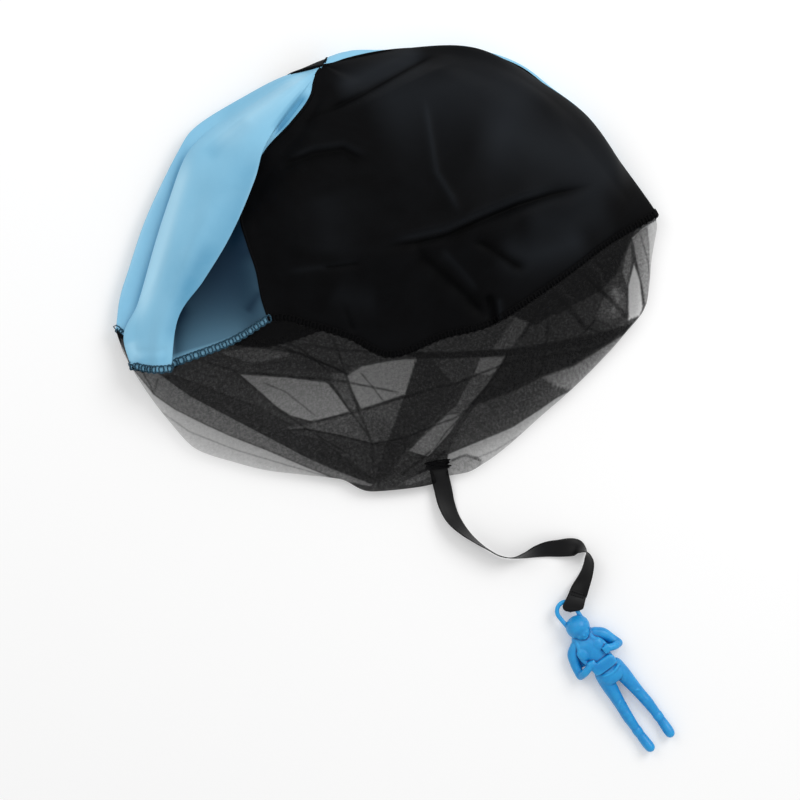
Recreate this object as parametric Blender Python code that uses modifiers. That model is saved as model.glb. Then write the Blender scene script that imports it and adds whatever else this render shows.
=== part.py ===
"""Toy parachute lying on a table: four canopy quarters, their seams and hem, a net skirt gathered to a ribbon,
and a one-piece plastic jumper hanging on the ribbon by a ring. Metres, +Z up, +Y towards the crown."""

import math

import bmesh
import bpy
import numpy as np
from mathutils import Matrix, Vector

# Picture plane: the table seen from straight above.
PIXEL_SIZE = 0.00055  # table length that one picture pixel covers
VIEW_HEIGHT = 1.1  # height that the picture was taken from
ORIGIN_PX = (400.0, 200.0)  # table point that is the part's origin
VIEW_AXIS_PX = (400.0, 400.0)  # table point straight below the view

# Cloth and thread.
CANOPY_HEIGHT = 0.060  # top of the canopy as it lies
CLOTH = 0.0006  # thickness of the canopy cloth as a solid
NET = 0.0005  # thickness of the net skirt as a solid
SEAM_RADIUS = 0.0007  # sewn seam between two quarters
HEM_RADIUS = 0.0012  # overlock roll round the hem
GAP = 0.0003  # clearance between neighbours
TABLE_CLEARANCE = 0.0001  # rolls stay this far above the table

# Gather.
NECK_PX = (437.0, 459.0)  # middle of the gathered end of the net
NECK_HALF_WIDTH = 0.0072
NECK_HALF_HEIGHT = 0.0012
NECK_LENGTH = 0.0060
ARCHED_RATE = 1.3  # the higher, the more of the neck's outline is its round ends
NECK_TURN = math.radians(-81.0)  # way out of the neck, from +X
BINDING_RADIUS = 0.0011

# Ribbon.
RIBBON_WIDTH = 0.010
RIBBON_THICKNESS = 0.0006
LOOP_WIDTH = 0.0058
LOOP_THICKNESS = 0.0006
LAP_START = 0.0080  # the stitched lap, from the ring's centre
LAP_END = 0.0115
LOOP_REACH = 0.0012  # the loop's inner end, from the ring's centre
STITCH_RADIUS = 0.00035
STITCH_INSET = 0.0011

# Figure, lying on its back. Places along it run from the ring's centre to the toes.
RING_PX = (566.3, 611.0)
FIGURE_TURN = math.radians(-54.0)  # way from the ring to the toes, from +X
RING_RADIUS = 0.0051  # to the middle of the bar
RING_BAR_RADIUS = 0.00125
RING_LEG = 0.0075  # straight legs of the ring, down into the helmet
RING_FOOT_SHARE = 0.9  # the legs draw in to this share of the ring's radius
HELMET_RADIUS = 0.0068
HELMET_PLACE = 0.0108
REST_CUT = 0.0005  # depth of the flats that the figure lies on
FIGURE_REACH = 0.0900  # ring centre to the soles
TORSO_HALF_WIDTH = 0.0078
TORSO_HALF_DEPTH = 0.0052
SHOULDER_HALF_SPAN = 0.0078
ELBOW_HALF_SPAN = 0.0134
HAND_HALF_SPAN = 0.0066
HIP_HALF_SPAN = 0.0050
KNEE_HALF_SPAN = 0.0067
FOOT_HALF_SPAN = 0.0066
THIGH_RADIUS = 0.0043
CALF_RADIUS = 0.0028
ANKLE_RADIUS = 0.0024
FOOT_RADIUS = 0.0028
UPPER_ARM_RADIUS = 0.0027
FOREARM_RADIUS = 0.0023
HAND_RADIUS = 0.0025
CHEST_RADIUS = 0.0043
STRAP_RADIUS = 0.0009
PACK_WIDTH = 0.0125
PACK_LENGTH = 0.0090
PACK_DEPTH = 0.0050
PACK_ROUND = 0.0013
PACK_PLACE = 0.0343
CUT_OVERRUN = 0.0300
FACE_RADIUS = 0.0046
FACE_PLACE = 0.0142
FACE_RISE = 0.0022
THROAT_RADIUS = 0.0034
NECK_RISE = 0.0010
CHEST_HALF_SPAN = 0.0042
CHEST_PLACE = 0.0245
FOOT_RISE = 0.0014
MERGE = 0.00001
QUARTER_TURN = 90.0
LIMB_STEPS = 9
LIMB_SIDES = 3
END_TURNS = (25.0, 50.0, 72.0, 86.0)

# Rows of a quarter on its way from the crown to the hem. The last row follows the hem.
ROW_SHARES = (
    0.025, 0.042, 0.065, 0.095, 0.135, 0.18, 0.225, 0.265, 0.305, 0.345, 0.385, 0.425, 0.475, 0.53, 0.59, 0.66,
    0.73, 0.80, 0.87, 0.94
)

# Lines from the crown to the hem: picture x, picture y, and height as a share of CANOPY_HEIGHT.
SEAM_FRONT_PX_HEIGHT_SHARES = (
    (323.0, 65.5, 0.43), (318.0, 74.0, 0.47), (310.0, 96.0, 0.53), (291.0, 123.6, 0.56), (266.0, 150.0, 0.53),
    (249.0, 185.0, 0.45), (241.0, 216.0, 0.43), (248.0, 243.0, 0.43), (257.0, 270.0, 0.43), (263.0, 300.0, 0.42),
    (270.0, 321.0, 0.42),
)
SEAM_LEFT_PX_HEIGHT_SHARES = (
    (323.0, 65.5, 0.43), (305.0, 69.5, 0.33), (285.0, 78.0, 0.21), (262.0, 105.0, 0.07), (240.0, 145.0, 0.01),
    (205.0, 205.0, 0.0), (165.0, 270.0, 0.0), (136.0, 315.0, 0.02), (121.0, 338.0, 0.06),
)
SEAM_RIGHT_PX_HEIGHT_SHARES = (
    (323.0, 65.5, 0.43), (331.0, 64.5, 0.41), (345.0, 60.0, 0.37), (365.0, 55.0, 0.33), (385.0, 51.5, 0.29),
    (440.0, 49.5, 0.21), (488.0, 55.5, 0.20), (520.0, 68.0, 0.18), (548.0, 89.0, 0.15), (583.0, 116.0, 0.11),
    (612.0, 158.0, 0.07), (642.0, 200.0, 0.05), (654.0, 214.5, 0.05),
)
SEAM_BACK_PX_HEIGHT_SHARES = (
    (323.0, 65.5, 0.43), (326.0, 60.0, 0.36), (327.0, 58.5, 0.26), (324.5, 64.0, 0.12), (320.0, 82.0, 0.02),
    (318.0, 120.0, 0.0), (316.0, 200.0, 0.0), (322.0, 290.0, 0.0), (330.0, 327.0, 0.01),
)

# The inner lines of the left quarter have their points level with those of the front seam.
LEFT_BLUE_LINES_PX_HEIGHT_SHARES = (
    SEAM_LEFT_PX_HEIGHT_SHARES,
    ((322.6, 65.8, 0.43), (311.0, 69.5, 0.36), (284.0, 76.5, 0.24), (245.0, 96.5, 0.16), (207.0, 123.0, 0.14),
     (179.0, 157.0, 0.14), (158.5, 193.0, 0.14), (143.5, 226.0, 0.14), (130.0, 266.0, 0.14), (119.5, 301.0, 0.14),
     (116.0, 331.0, 0.14)),
    ((322.4, 66.2, 0.43), (312.5, 71.5, 0.42), (288.0, 82.0, 0.37), (254.0, 102.0, 0.31), (217.0, 128.0, 0.25),
     (184.0, 157.0, 0.23), (172.0, 194.0, 0.22), (162.5, 226.0, 0.21), (150.0, 266.0, 0.20), (137.0, 303.0, 0.19),
     (127.5, 338.0, 0.19)),
    ((322.6, 66.4, 0.43), (314.0, 72.6, 0.46), (292.5, 86.0, 0.48), (264.0, 107.5, 0.49), (233.0, 136.0, 0.47),
     (205.0, 169.0, 0.45), (190.0, 204.0, 0.42), (178.0, 236.0, 0.40), (164.0, 277.0, 0.36), (149.0, 322.0, 0.33),
     (139.0, 369.0, 0.29)),
    ((322.7, 66.6, 0.43), (315.6, 73.4, 0.47), (298.0, 90.0, 0.53), (275.5, 113.5, 0.58), (249.0, 143.0, 0.61),
     (232.0, 180.0, 0.60), (218.0, 214.0, 0.57), (203.0, 246.0, 0.53), (184.0, 285.0, 0.48), (163.0, 330.0, 0.42),
     (155.0, 372.0, 0.37)),
    ((322.8, 66.7, 0.43), (316.3, 73.8, 0.48), (301.6, 92.0, 0.55), (281.8, 117.0, 0.60), (263.5, 147.5, 0.65),
     (256.0, 180.0, 0.62), (239.5, 217.0, 0.57), (224.0, 247.0, 0.53), (203.0, 281.0, 0.49), (180.0, 320.0, 0.43),
     (168.5, 371.0, 0.36)),
    ((322.9, 66.8, 0.43), (316.9, 74.0, 0.48), (304.6, 93.6, 0.54), (284.0, 120.0, 0.575), (259.5, 150.5, 0.575),
     (243.0, 184.0, 0.53), (229.0, 220.0, 0.44), (212.0, 250.0, 0.36), (190.0, 284.0, 0.30), (175.0, 324.0, 0.26),
     (175.0, 363.0, 0.25)),
    ((323.0, 66.8, 0.43), (317.4, 74.1, 0.475), (307.2, 94.8, 0.535), (288.0, 121.8, 0.575), (261.5, 151.5, 0.545),
     (240.5, 187.5, 0.47), (230.0, 219.0, 0.40), (227.0, 248.0, 0.37), (224.0, 280.0, 0.31), (221.0, 318.0, 0.27),
     (221.0, 345.5, 0.28)),
    SEAM_FRONT_PX_HEIGHT_SHARES,
)
LEFT_BLUE_ACROSS_SHARES = (0.0, 0.12, 0.24, 0.40, 0.56, 0.64, 0.72, 0.82, 1.0)

FRONT_BLACK_LINES_PX_HEIGHT_SHARES = (
    SEAM_FRONT_PX_HEIGHT_SHARES,
    ((323.1, 65.6, 0.43), (321.0, 75.0, 0.48), (317.0, 98.0, 0.54), (300.0, 127.0, 0.56), (277.0, 154.0, 0.53),
     (260.0, 187.0, 0.47), (252.0, 217.0, 0.46), (259.0, 243.0, 0.47), (268.0, 270.0, 0.47), (275.0, 300.0, 0.46),
     (284.0, 320.0, 0.46)),
    ((323.2, 65.4, 0.43), (331.0, 84.0, 0.55), (322.0, 120.0, 0.64), (304.0, 160.0, 0.66), (287.0, 210.0, 0.62),
     (290.0, 262.0, 0.58), (297.0, 300.0, 0.54), (305.0, 325.5, 0.51)),
    ((323.4, 65.3, 0.43), (345.0, 85.0, 0.60), (356.0, 130.0, 0.74), (349.0, 190.0, 0.82), (340.0, 250.0, 0.80),
     (343.0, 300.0, 0.70), (347.0, 338.0, 0.60)),
    ((323.6, 65.2, 0.43), (366.0, 84.0, 0.58), (400.0, 126.0, 0.78), (402.0, 190.0, 0.90), (388.0, 250.0, 0.89),
     (386.0, 305.0, 0.74), (390.0, 357.0, 0.60)),
    ((323.8, 65.1, 0.43), (382.0, 76.0, 0.55), (434.0, 106.0, 0.75), (457.0, 160.0, 0.93), (452.0, 215.0, 0.98),
     (437.0, 262.0, 0.84), (436.0, 300.0, 0.68), (444.0, 338.0, 0.56)),
    ((324.0, 65.0, 0.43), (396.0, 67.0, 0.49), (466.0, 88.0, 0.66), (508.0, 130.0, 0.82), (518.0, 178.0, 0.92),
     (506.0, 226.0, 0.90), (492.0, 270.0, 0.76), (494.0, 324.0, 0.60)),
    ((324.2, 64.9, 0.43), (404.0, 60.0, 0.42), (484.0, 75.0, 0.52), (542.0, 110.0, 0.62), (568.0, 155.0, 0.70),
     (572.0, 205.0, 0.72), (560.0, 250.0, 0.62), (556.0, 284.0, 0.50)),
    ((324.4, 64.8, 0.43), (408.0, 54.0, 0.36), (488.0, 63.0, 0.38), (545.0, 93.0, 0.42), (588.0, 132.0, 0.44),
     (614.0, 175.0, 0.45), (616.0, 214.0, 0.41), (607.0, 246.0, 0.34)),
    ((324.6, 64.7, 0.43), (405.0, 48.5, 0.28), (475.0, 48.0, 0.26), (541.0, 82.0, 0.23), (587.0, 116.0, 0.20),
     (621.0, 163.0, 0.17), (649.0, 203.0, 0.15), (657.0, 216.0, 0.14)),
    SEAM_RIGHT_PX_HEIGHT_SHARES,
)
FRONT_BLACK_ACROSS_SHARES = (0.0, 0.05, 0.12, 0.22, 0.33, 0.45, 0.57, 0.69, 0.81, 0.93, 1.0)

BACK_BLUE_LINES_PX_HEIGHT_SHARES = (
    SEAM_RIGHT_PX_HEIGHT_SHARES,
    ((323.5, 65.2, 0.43), (334.0, 58.5, 0.37), (346.0, 53.0, 0.31), (384.0, 50.0, 0.25), (440.0, 51.5, 0.15),
     (489.0, 53.0, 0.14), (522.0, 66.0, 0.13), (551.0, 88.0, 0.11), (584.0, 115.0, 0.07), (608.0, 160.0, 0.03),
     (636.0, 201.0, 0.02), (645.0, 218.0, 0.03)),
    ((323.5, 65.0, 0.43), (333.0, 56.8, 0.34), (346.0, 51.8, 0.24), (384.0, 54.0, 0.13), (438.0, 62.0, 0.03),
     (484.0, 68.0, 0.02), (516.0, 82.0, 0.01), (544.0, 106.0, 0.0), (574.0, 138.0, 0.0), (594.0, 176.0, 0.0),
     (615.0, 226.0, 0.0)),
    ((323.4, 64.8, 0.43), (331.0, 56.5, 0.32), (341.0, 54.5, 0.19), (360.0, 61.0, 0.07), (398.0, 84.0, 0.0),
     (440.0, 122.0, 0.0), (476.0, 176.0, 0.0), (508.0, 240.0, 0.0), (540.0, 278.0, 0.0)),
    ((323.3, 64.6, 0.43), (329.0, 57.0, 0.31), (333.5, 59.0, 0.17), (340.0, 66.0, 0.06), (352.0, 88.0, 0.0),
     (366.0, 130.0, 0.0), (382.0, 200.0, 0.0), (402.0, 280.0, 0.0), (420.0, 322.0, 0.0)),
    SEAM_BACK_PX_HEIGHT_SHARES,
)
BACK_BLUE_ACROSS_SHARES = (0.0, 0.10, 0.22, 0.50, 0.78, 1.0)

BACK_BLACK_LINES_PX_HEIGHT_SHARES = (
    SEAM_BACK_PX_HEIGHT_SHARES,
    ((322.8, 65.3, 0.43), (318.0, 63.0, 0.33), (314.0, 63.5, 0.24), (308.0, 70.0, 0.11), (300.0, 90.0, 0.0),
     (286.0, 130.0, 0.0), (268.0, 205.0, 0.0), (264.0, 290.0, 0.0), (266.0, 346.0, 0.02)),
    ((322.6, 65.5, 0.43), (310.0, 67.0, 0.33), (300.0, 69.5, 0.23), (290.0, 78.0, 0.10), (280.0, 98.0, 0.0),
     (262.0, 136.0, 0.0), (234.0, 206.0, 0.0), (206.0, 290.0, 0.0), (194.0, 340.0, 0.01)),
    ((322.8, 65.6, 0.43), (306.0, 68.8, 0.32), (288.0, 74.5, 0.20), (273.0, 92.0, 0.06), (254.0, 128.0, 0.0),
     (224.0, 190.0, 0.0), (186.0, 262.0, 0.0), (160.0, 318.0, 0.0), (148.0, 346.0, 0.02)),
    SEAM_LEFT_PX_HEIGHT_SHARES,
)
BACK_BLACK_ACROSS_SHARES = (0.0, 0.34, 0.66, 0.86, 1.0)

# Where the columns of a quarter stand across it, closer at the folds.
LEFT_BLUE_COLUMN_SHARES = (
    0.0, 0.06, 0.12, 0.18, 0.24, 0.32, 0.40, 0.48, 0.56, 0.61, 0.65, 0.69, 0.73, 0.78, 0.85, 0.93, 1.0
)
FRONT_BLACK_COLUMN_SHARES = (
    0.0, 0.05, 0.10, 0.155, 0.21, 0.27, 0.33, 0.39, 0.45, 0.51, 0.57, 0.65, 0.73, 0.81, 0.88, 0.94, 1.0
)
BACK_BLUE_COLUMN_SHARES = (
    0.0, 0.05, 0.10, 0.15, 0.20, 0.26, 0.33, 0.40, 0.47, 0.54, 0.61, 0.68, 0.75, 0.82, 0.88, 0.94, 1.0
)
BACK_BLACK_COLUMN_SHARES = (
    0.0, 0.06, 0.12, 0.18, 0.25, 0.32, 0.39, 0.46, 0.53, 0.60, 0.67, 0.74, 0.80, 0.85, 0.90, 0.95, 1.0
)

# Lines of the net from the hem to the neck, by their place round the hem, in quarters of it:
# 0 left corner, 1 front seam, 2 right corner, 3 back seam. Picture x, y and height share.
NET_LINES_PX_HEIGHT_SHARES = (
    (0.0, ((115.0, 346.0, 0.07), (130.0, 374.0, 0.08), (148.0, 400.0, 0.08), (170.0, 422.0, 0.08),
           (197.0, 449.0, 0.08), (232.0, 461.5, 0.08), (265.0, 470.5, 0.08), (302.0, 475.0, 0.08),
           (336.0, 479.0, 0.07), (368.0, 480.0, 0.07), (397.0, 463.0, 0.07))),
    (0.5, ((152.0, 380.0, 0.30), (164.0, 388.0, 0.28), (183.0, 402.0, 0.26), (209.0, 417.0, 0.23),
           (237.0, 430.0, 0.20), (268.0, 441.0, 0.18), (298.0, 452.0, 0.17), (330.0, 462.0, 0.16),
           (360.0, 468.0, 0.14), (385.0, 466.0, 0.13), (405.0, 460.0, 0.12))),
    (0.78, ((210.0, 356.0, 0.24), (222.0, 367.0, 0.23), (240.0, 381.0, 0.22), (262.0, 397.0, 0.21),
            (285.0, 411.0, 0.20), (309.0, 425.0, 0.19), (334.0, 438.0, 0.19), (359.0, 450.0, 0.18),
            (380.0, 456.0, 0.16), (398.0, 458.0, 0.14), (412.0, 457.0, 0.13))),
    (1.0, ((275.0, 329.0, 0.40), (286.0, 344.0, 0.38), (300.0, 362.0, 0.35), (316.0, 381.0, 0.32),
           (333.0, 399.0, 0.29), (351.0, 415.0, 0.27), (369.0, 430.0, 0.25), (387.0, 442.0, 0.21),
           (402.0, 448.0, 0.18), (414.0, 452.0, 0.15), (423.0, 454.0, 0.13))),
    (1.25, ((370.0, 356.0, 0.55), (373.0, 367.0, 0.50), (378.0, 380.0, 0.44), (384.0, 394.0, 0.38),
            (392.0, 407.0, 0.33), (400.0, 419.0, 0.29), (409.0, 429.0, 0.26), (417.0, 438.0, 0.24),
            (424.0, 445.0, 0.20), (429.0, 450.0, 0.16), (432.0, 453.0, 0.13))),
    (1.5, ((492.0, 336.0, 0.52), (488.0, 350.0, 0.46), (482.0, 365.0, 0.41), (475.0, 381.0, 0.36),
           (467.0, 397.0, 0.31), (459.0, 411.0, 0.28), (452.0, 424.0, 0.25), (446.0, 435.0, 0.23),
           (442.0, 443.0, 0.19), (440.0, 449.0, 0.16), (438.0, 452.0, 0.13))),
    (1.8, ((617.0, 253.0, 0.30), (615.0, 271.0, 0.27), (609.0, 291.0, 0.24), (597.0, 314.0, 0.21),
           (578.0, 339.0, 0.19), (555.0, 364.0, 0.18), (529.0, 389.0, 0.17), (502.0, 413.0, 0.17),
           (477.0, 433.0, 0.15), (460.0, 446.0, 0.14), (451.0, 451.0, 0.13))),
    (2.0, ((657.0, 226.0, 0.10), (652.0, 258.0, 0.09), (647.0, 300.0, 0.08), (625.0, 337.0, 0.08),
           (600.0, 363.0, 0.08), (571.0, 392.0, 0.08), (539.0, 420.0, 0.08), (506.0, 449.0, 0.08),
           (486.0, 457.0, 0.07), (470.0, 454.0, 0.07), (458.0, 450.0, 0.07))),
    (2.4, ((584.0, 256.0, 0.0), (576.0, 286.0, 0.0), (562.0, 316.0, 0.0), (544.0, 344.0, 0.0),
           (524.0, 370.0, 0.0), (504.0, 393.0, 0.0), (486.0, 414.0, 0.0), (468.0, 432.0, 0.0),
           (456.0, 443.0, 0.01), (449.0, 449.0, 0.02), (445.0, 453.0, 0.03))),
    (3.0, ((334.0, 336.0, 0.0), (346.0, 352.0, 0.0), (358.0, 370.0, 0.0), (370.0, 387.0, 0.0),
           (382.0, 403.0, 0.0), (394.0, 418.0, 0.0), (406.0, 431.0, 0.0), (417.0, 442.0, 0.0),
           (424.0, 447.0, 0.01), (430.0, 451.0, 0.02), (434.0, 454.0, 0.03))),
    (3.55, ((202.0, 352.0, 0.0), (222.0, 371.0, 0.0), (246.0, 389.0, 0.0), (272.0, 405.0, 0.0),
            (299.0, 419.0, 0.0), (326.0, 432.0, 0.0), (352.0, 444.0, 0.0), (377.0, 454.0, 0.0),
            (396.0, 458.0, 0.01), (409.0, 458.0, 0.02), (418.0, 457.0, 0.03))),
)
NET_ROWS = 8

# The ribbon's way along the table: picture x, picture y, height in metres, and roll in degrees, 0 lying flat
# and 90 standing on its edge.
RIBBON_ROUTE = (
    (437.6, 462.5, 0.0045, 0.0), (439.5, 474.0, 0.0043, 0.0), (443.0, 489.0, 0.0036, 8.0),
    (446.5, 504.0, 0.0036, 22.0), (453.0, 518.5, 0.0042, 40.0), (463.5, 531.0, 0.0051, 62.0),
    (476.0, 541.5, 0.0056, 80.0), (488.0, 549.5, 0.0058, 90.0), (500.0, 556.0, 0.0058, 92.0),
    (512.0, 558.0, 0.0058, 96.0), (524.0, 555.5, 0.0053, 112.0), (536.0, 551.5, 0.0044, 134.0),
    (548.0, 549.0, 0.0036, 152.0), (560.0, 548.2, 0.0034, 166.0), (571.0, 547.2, 0.0042, 190.0),
    (580.5, 547.8, 0.0056, 232.0), (587.0, 552.0, 0.0060, 268.0), (588.6, 561.0, 0.0059, 294.0),
    (588.6, 571.5, 0.0058, 304.0), (587.2, 581.0, 0.0060, 325.0), (584.0, 590.0, 0.0061, 352.0),
    (580.3, 595.5, 0.0061, 360.0),
)
RIBBON_STEPS = 64
LAST_BEND_SHARE = 0.4  # the ribbon runs straight into its lap for this share of its width

NAME = "toy_parachute"


def material(name, colour, roughness):
    made = bpy.data.materials.new(name)
    made.use_nodes = True
    shader = made.node_tree.nodes["Principled BSDF"]
    shader.inputs["Base Color"].default_value = (*colour, 1.0)
    shader.inputs["Roughness"].default_value = roughness
    return made


def gentle(keys, values, at):
    """Cubic through the values that never overshoots them, along the first axis."""
    keys = np.asarray(keys, float)
    values = np.asarray(values, float)
    flat = values.reshape(len(keys), -1)
    width = np.diff(keys)[:, None]
    slope = np.diff(flat, axis=0) / width
    tangent = np.zeros_like(flat)
    tangent[0] = slope[0]
    tangent[-1] = slope[-1]
    before, after = slope[:-1], slope[1:]
    same = before * after > 0
    total = np.where(same, before + after, 1.0)
    tangent[1:-1] = np.where(same, 2 * before * after / total, 0.0)
    return hermite(keys, flat, tangent, at).reshape(len(at), *values.shape[1:])


def free(keys, values, at):
    """Smooth curve through the values, along the first axis, with each slope taken from both neighbours."""
    keys = np.asarray(keys, float)
    values = np.asarray(values, float)
    flat = values.reshape(len(keys), -1)
    width = np.diff(keys)[:, None]
    slope = np.diff(flat, axis=0) / width
    tangent = np.zeros_like(flat)
    tangent[0] = slope[0]
    tangent[-1] = slope[-1]
    weight = width[:-1] + width[1:]
    tangent[1:-1] = (slope[:-1] * width[1:] + slope[1:] * width[:-1]) / weight
    return hermite(keys, flat, tangent, at).reshape(len(at), *values.shape[1:])


def hermite(keys, values, tangent, at):
    at = np.clip(np.asarray(at, float), keys[0], keys[-1])
    k = np.clip(np.searchsorted(keys, at, side="right") - 1, 0, len(keys) - 2)
    width = (keys[k + 1] - keys[k])[:, None]
    f = (at - keys[k])[:, None] / width
    return (
        values[k] * (2 * f**3 - 3 * f**2 + 1)
        + tangent[k] * width * (f**3 - 2 * f**2 + f)
        + values[k + 1] * (3 * f**2 - 2 * f**3)
        + tangent[k + 1] * width * (f**3 - f**2)
    )


def chord_keys(points):
    """Each point's share of the way along the line through the points."""
    steps = np.linalg.norm(np.diff(points, axis=0), axis=1)
    way = np.concatenate([[0.0], np.cumsum(steps)])
    return way / way[-1]


def to_world(seen):
    """Part coordinates of points given as picture x, picture y and height in metres."""
    seen = np.asarray(seen, float)
    height = seen[..., 2]
    nearer = PIXEL_SIZE * (VIEW_HEIGHT - height) / VIEW_HEIGHT
    axis_x = (VIEW_AXIS_PX[0] - ORIGIN_PX[0]) * PIXEL_SIZE
    axis_y = (ORIGIN_PX[1] - VIEW_AXIS_PX[1]) * PIXEL_SIZE
    x = axis_x + (seen[..., 0] - VIEW_AXIS_PX[0]) * nearer
    y = axis_y + (VIEW_AXIS_PX[1] - seen[..., 1]) * nearer
    return np.stack([x, y, height], axis=-1)


def line_keys(table):
    """Each point's share of the way along a crown-to-hem line."""
    points = np.array(table, float)
    return chord_keys(points * np.array([PIXEL_SIZE, PIXEL_SIZE, CANOPY_HEIGHT]))


def line(table, keys, at, floor):
    """Points of one crown-to-hem line, seen in the picture, at shares of its way."""
    points = np.array(table, float)
    plan = free(keys, points[:, :2], at)
    height = gentle(keys, points[:, 2], at) * CANOPY_HEIGHT + floor
    return np.column_stack([plan, height])


def way_along(points):
    """Length from the first point to each point, along axis 0."""
    steps = np.linalg.norm(np.diff(points, axis=0), axis=-1)
    return np.concatenate([np.zeros((1, *steps.shape[1:])), np.cumsum(steps, axis=0)])


def cut_ends(points, first, last, least):
    """The line without the given lengths at its ends, and with no point closer to a new end than the least."""
    points = np.asarray(points, float)
    way = way_along(points[:, None, :])[:, 0]
    inside = (way > first + least) & (way < way[-1] - last - least)
    ends = np.array([first, way[-1] - last])
    first_point, last_point = np.column_stack([np.interp(ends, way, points[:, axis]) for axis in range(3)])
    return np.vstack([first_point, points[inside], last_point])


def distances(points, ends, closed=False):
    """Distance from each point to the line through the given ends."""
    ends = np.asarray(ends)
    starts, stops = (ends, np.roll(ends, -1, axis=0)) if closed else (ends[:-1], ends[1:])
    step = stops - starts
    size = (step**2).sum(axis=1)
    away = points[:, None, :] - starts[None]
    part = np.clip((away * step[None]).sum(axis=2) / size, 0.0, 1.0)
    return np.linalg.norm(away - part[..., None] * step[None], axis=2).min(axis=1)


def held_start(points, ends, least, closed=False):
    """Index from which the points stay at least the given distance from the line."""
    near = np.nonzero(distances(points, ends, closed) < least)[0]
    return near[-1] + 1 if len(near) else 0


KNEE_SHARE = 0.15  # how far across a quarter its columns make room for a seam
NARROW_RATE = 3.0  # how soon a narrow row spaces its columns evenly


def between_seams(table, rows, shares, cut):
    """Rows of a quarter at the given indices, with columns at the shares across and both outer ones held off
    the seams."""
    count = table.shape[1]
    steps = np.arange(count) / (count - 1)
    shares = np.asarray(shares)
    stations = sorted({0, *rows, len(table) - 1})
    first_seam, last_seam = table[stations, 0], table[stations, -1]
    out = np.empty((len(rows), len(shares), 3))
    for k, row in enumerate(table[rows]):
        half = count // 2
        start = steps[held_start(row[:half], first_seam, cut)]
        end = 1.0 - steps[held_start(row[half:][::-1], last_seam, cut)]
        first_knee = min(0.5, KNEE_SHARE + 2 * start)
        last_knee = max(0.5, 1.0 - KNEE_SHARE - 2 * (1.0 - end))
        held_at = np.interp(shares, (0.0, first_knee, last_knee, 1.0), (start, first_knee, last_knee, end))
        even_at = start + (end - start) * shares
        narrow = min(1.0, NARROW_RATE * (start + 1.0 - end))
        own_at = np.clip(shares, start, end)
        down = rows[k] / (len(table) - 1)
        at = held_at + (even_at - held_at) * narrow
        at += (own_at - at) * down
        for axis in range(3):
            out[k, :, axis] = np.interp(at, steps, row[:, axis])
    return out


FINE = 401  # rows and columns of a fine table
HEM_LIFT_SHARE = 0.07  # last share of the way to the hem, in which the cloth rises to the hem roll's middle


def quarter(lines, across_shares):
    """Fine table of one canopy quarter: rows from the crown to the hem, columns from seam to seam."""
    at = np.linspace(0.0, 1.0, FINE)
    seam_floor = SEAM_RADIUS + TABLE_CLEARANCE
    hem_floor = HEM_RADIUS + TABLE_CLEARANCE
    lift = np.clip((at - 1.0) / HEM_LIFT_SHARE + 1.0, 0.0, 1.0)
    cloth_floor = CLOTH / 2
    held = []
    for place, table in enumerate(lines):
        edge = place in (0, len(lines) - 1)
        floor = seam_floor if edge else cloth_floor
        level = not edge and len(table) == len(lines[-1]) and lines[-1] is SEAM_FRONT_PX_HEIGHT_SHARES
        keys = line_keys(lines[-1] if level else table)
        held.append(line(table, keys, at, floor + (hem_floor - floor) * lift**2))
    held = np.array(held)
    plan = free(across_shares, held[:, :, :2], at)
    height = gentle(across_shares, held[:, :, 2:], at)
    table = to_world(np.concatenate([plan, height], axis=-1))
    return table.transpose(1, 0, 2)


def collection(name):
    made = bpy.data.collections.new(name)
    bpy.context.scene.collection.children.link(made)
    return made


def evaluated(thing):
    """The object's mesh with its modifiers made real, in place of the object's own."""
    bpy.context.view_layer.update()
    graph = bpy.context.evaluated_depsgraph_get()
    mesh = bpy.data.meshes.new_from_object(thing.evaluated_get(graph))
    return mesh


def add_mesh(name, mesh, where, finish):
    made = bpy.data.objects.new(name, mesh)
    where.objects.link(made)
    mesh.materials.clear()
    mesh.materials.append(finish)
    return made


def grid_object(name, table, thickness, closed, finish, where):
    """A grid primitive moved onto a table of points, joined to itself across where closed, with a thickness."""
    rows, columns = table.shape[:2]
    work = bmesh.new()
    bmesh.ops.create_grid(work, x_segments=columns - 1, y_segments=rows - 1, size=1.0)
    work.verts.ensure_lookup_table()
    for vert in work.verts:
        column = round((vert.co.x + 1) / 2 * (columns - 1))
        row = round((vert.co.y + 1) / 2 * (rows - 1))
        vert.co = Vector(table[row, column])
    if closed:
        bmesh.ops.remove_doubles(work, verts=work.verts, dist=GAP / 10)
    bmesh.ops.recalc_face_normals(work, faces=work.faces)
    mesh = bpy.data.meshes.new(name)
    work.to_mesh(mesh)
    work.free()
    made = add_mesh(name, mesh, where, finish)
    wall = made.modifiers.new("thickness", "SOLIDIFY")
    wall.thickness = thickness
    wall.offset = 0.0
    return made


def tube(name, points, radius, closed, finish, where, sides=1):
    """Round tube along points."""
    data = bpy.data.curves.new(name, "CURVE")
    data.dimensions = "3D"
    data.bevel_depth = radius
    data.bevel_resolution = sides
    data.use_fill_caps = True
    spline = data.splines.new("POLY")
    spline.points.add(len(points) - 1)
    for point, place in zip(spline.points, points):
        point.co = (*place, 1.0)
    spline.use_cyclic_u = closed
    made = bpy.data.objects.new(name, data)
    where.objects.link(made)
    data.materials.append(finish)
    return made


def clear_of(points, closed_line, least, shares):
    """Columns that start where they are clear of a closed line, along axis 0."""
    table = np.arange(len(points)) / (len(points) - 1)
    out = np.empty((len(shares), *points.shape[1:]))
    for k in range(points.shape[1]):
        start = table[held_start(points[:, k], closed_line, least, True)]
        at = start + (1.0 - start) * np.asarray(shares)
        for axis in range(3):
            out[:, k, axis] = np.interp(at, table, points[:, k, axis])
    return out


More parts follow.
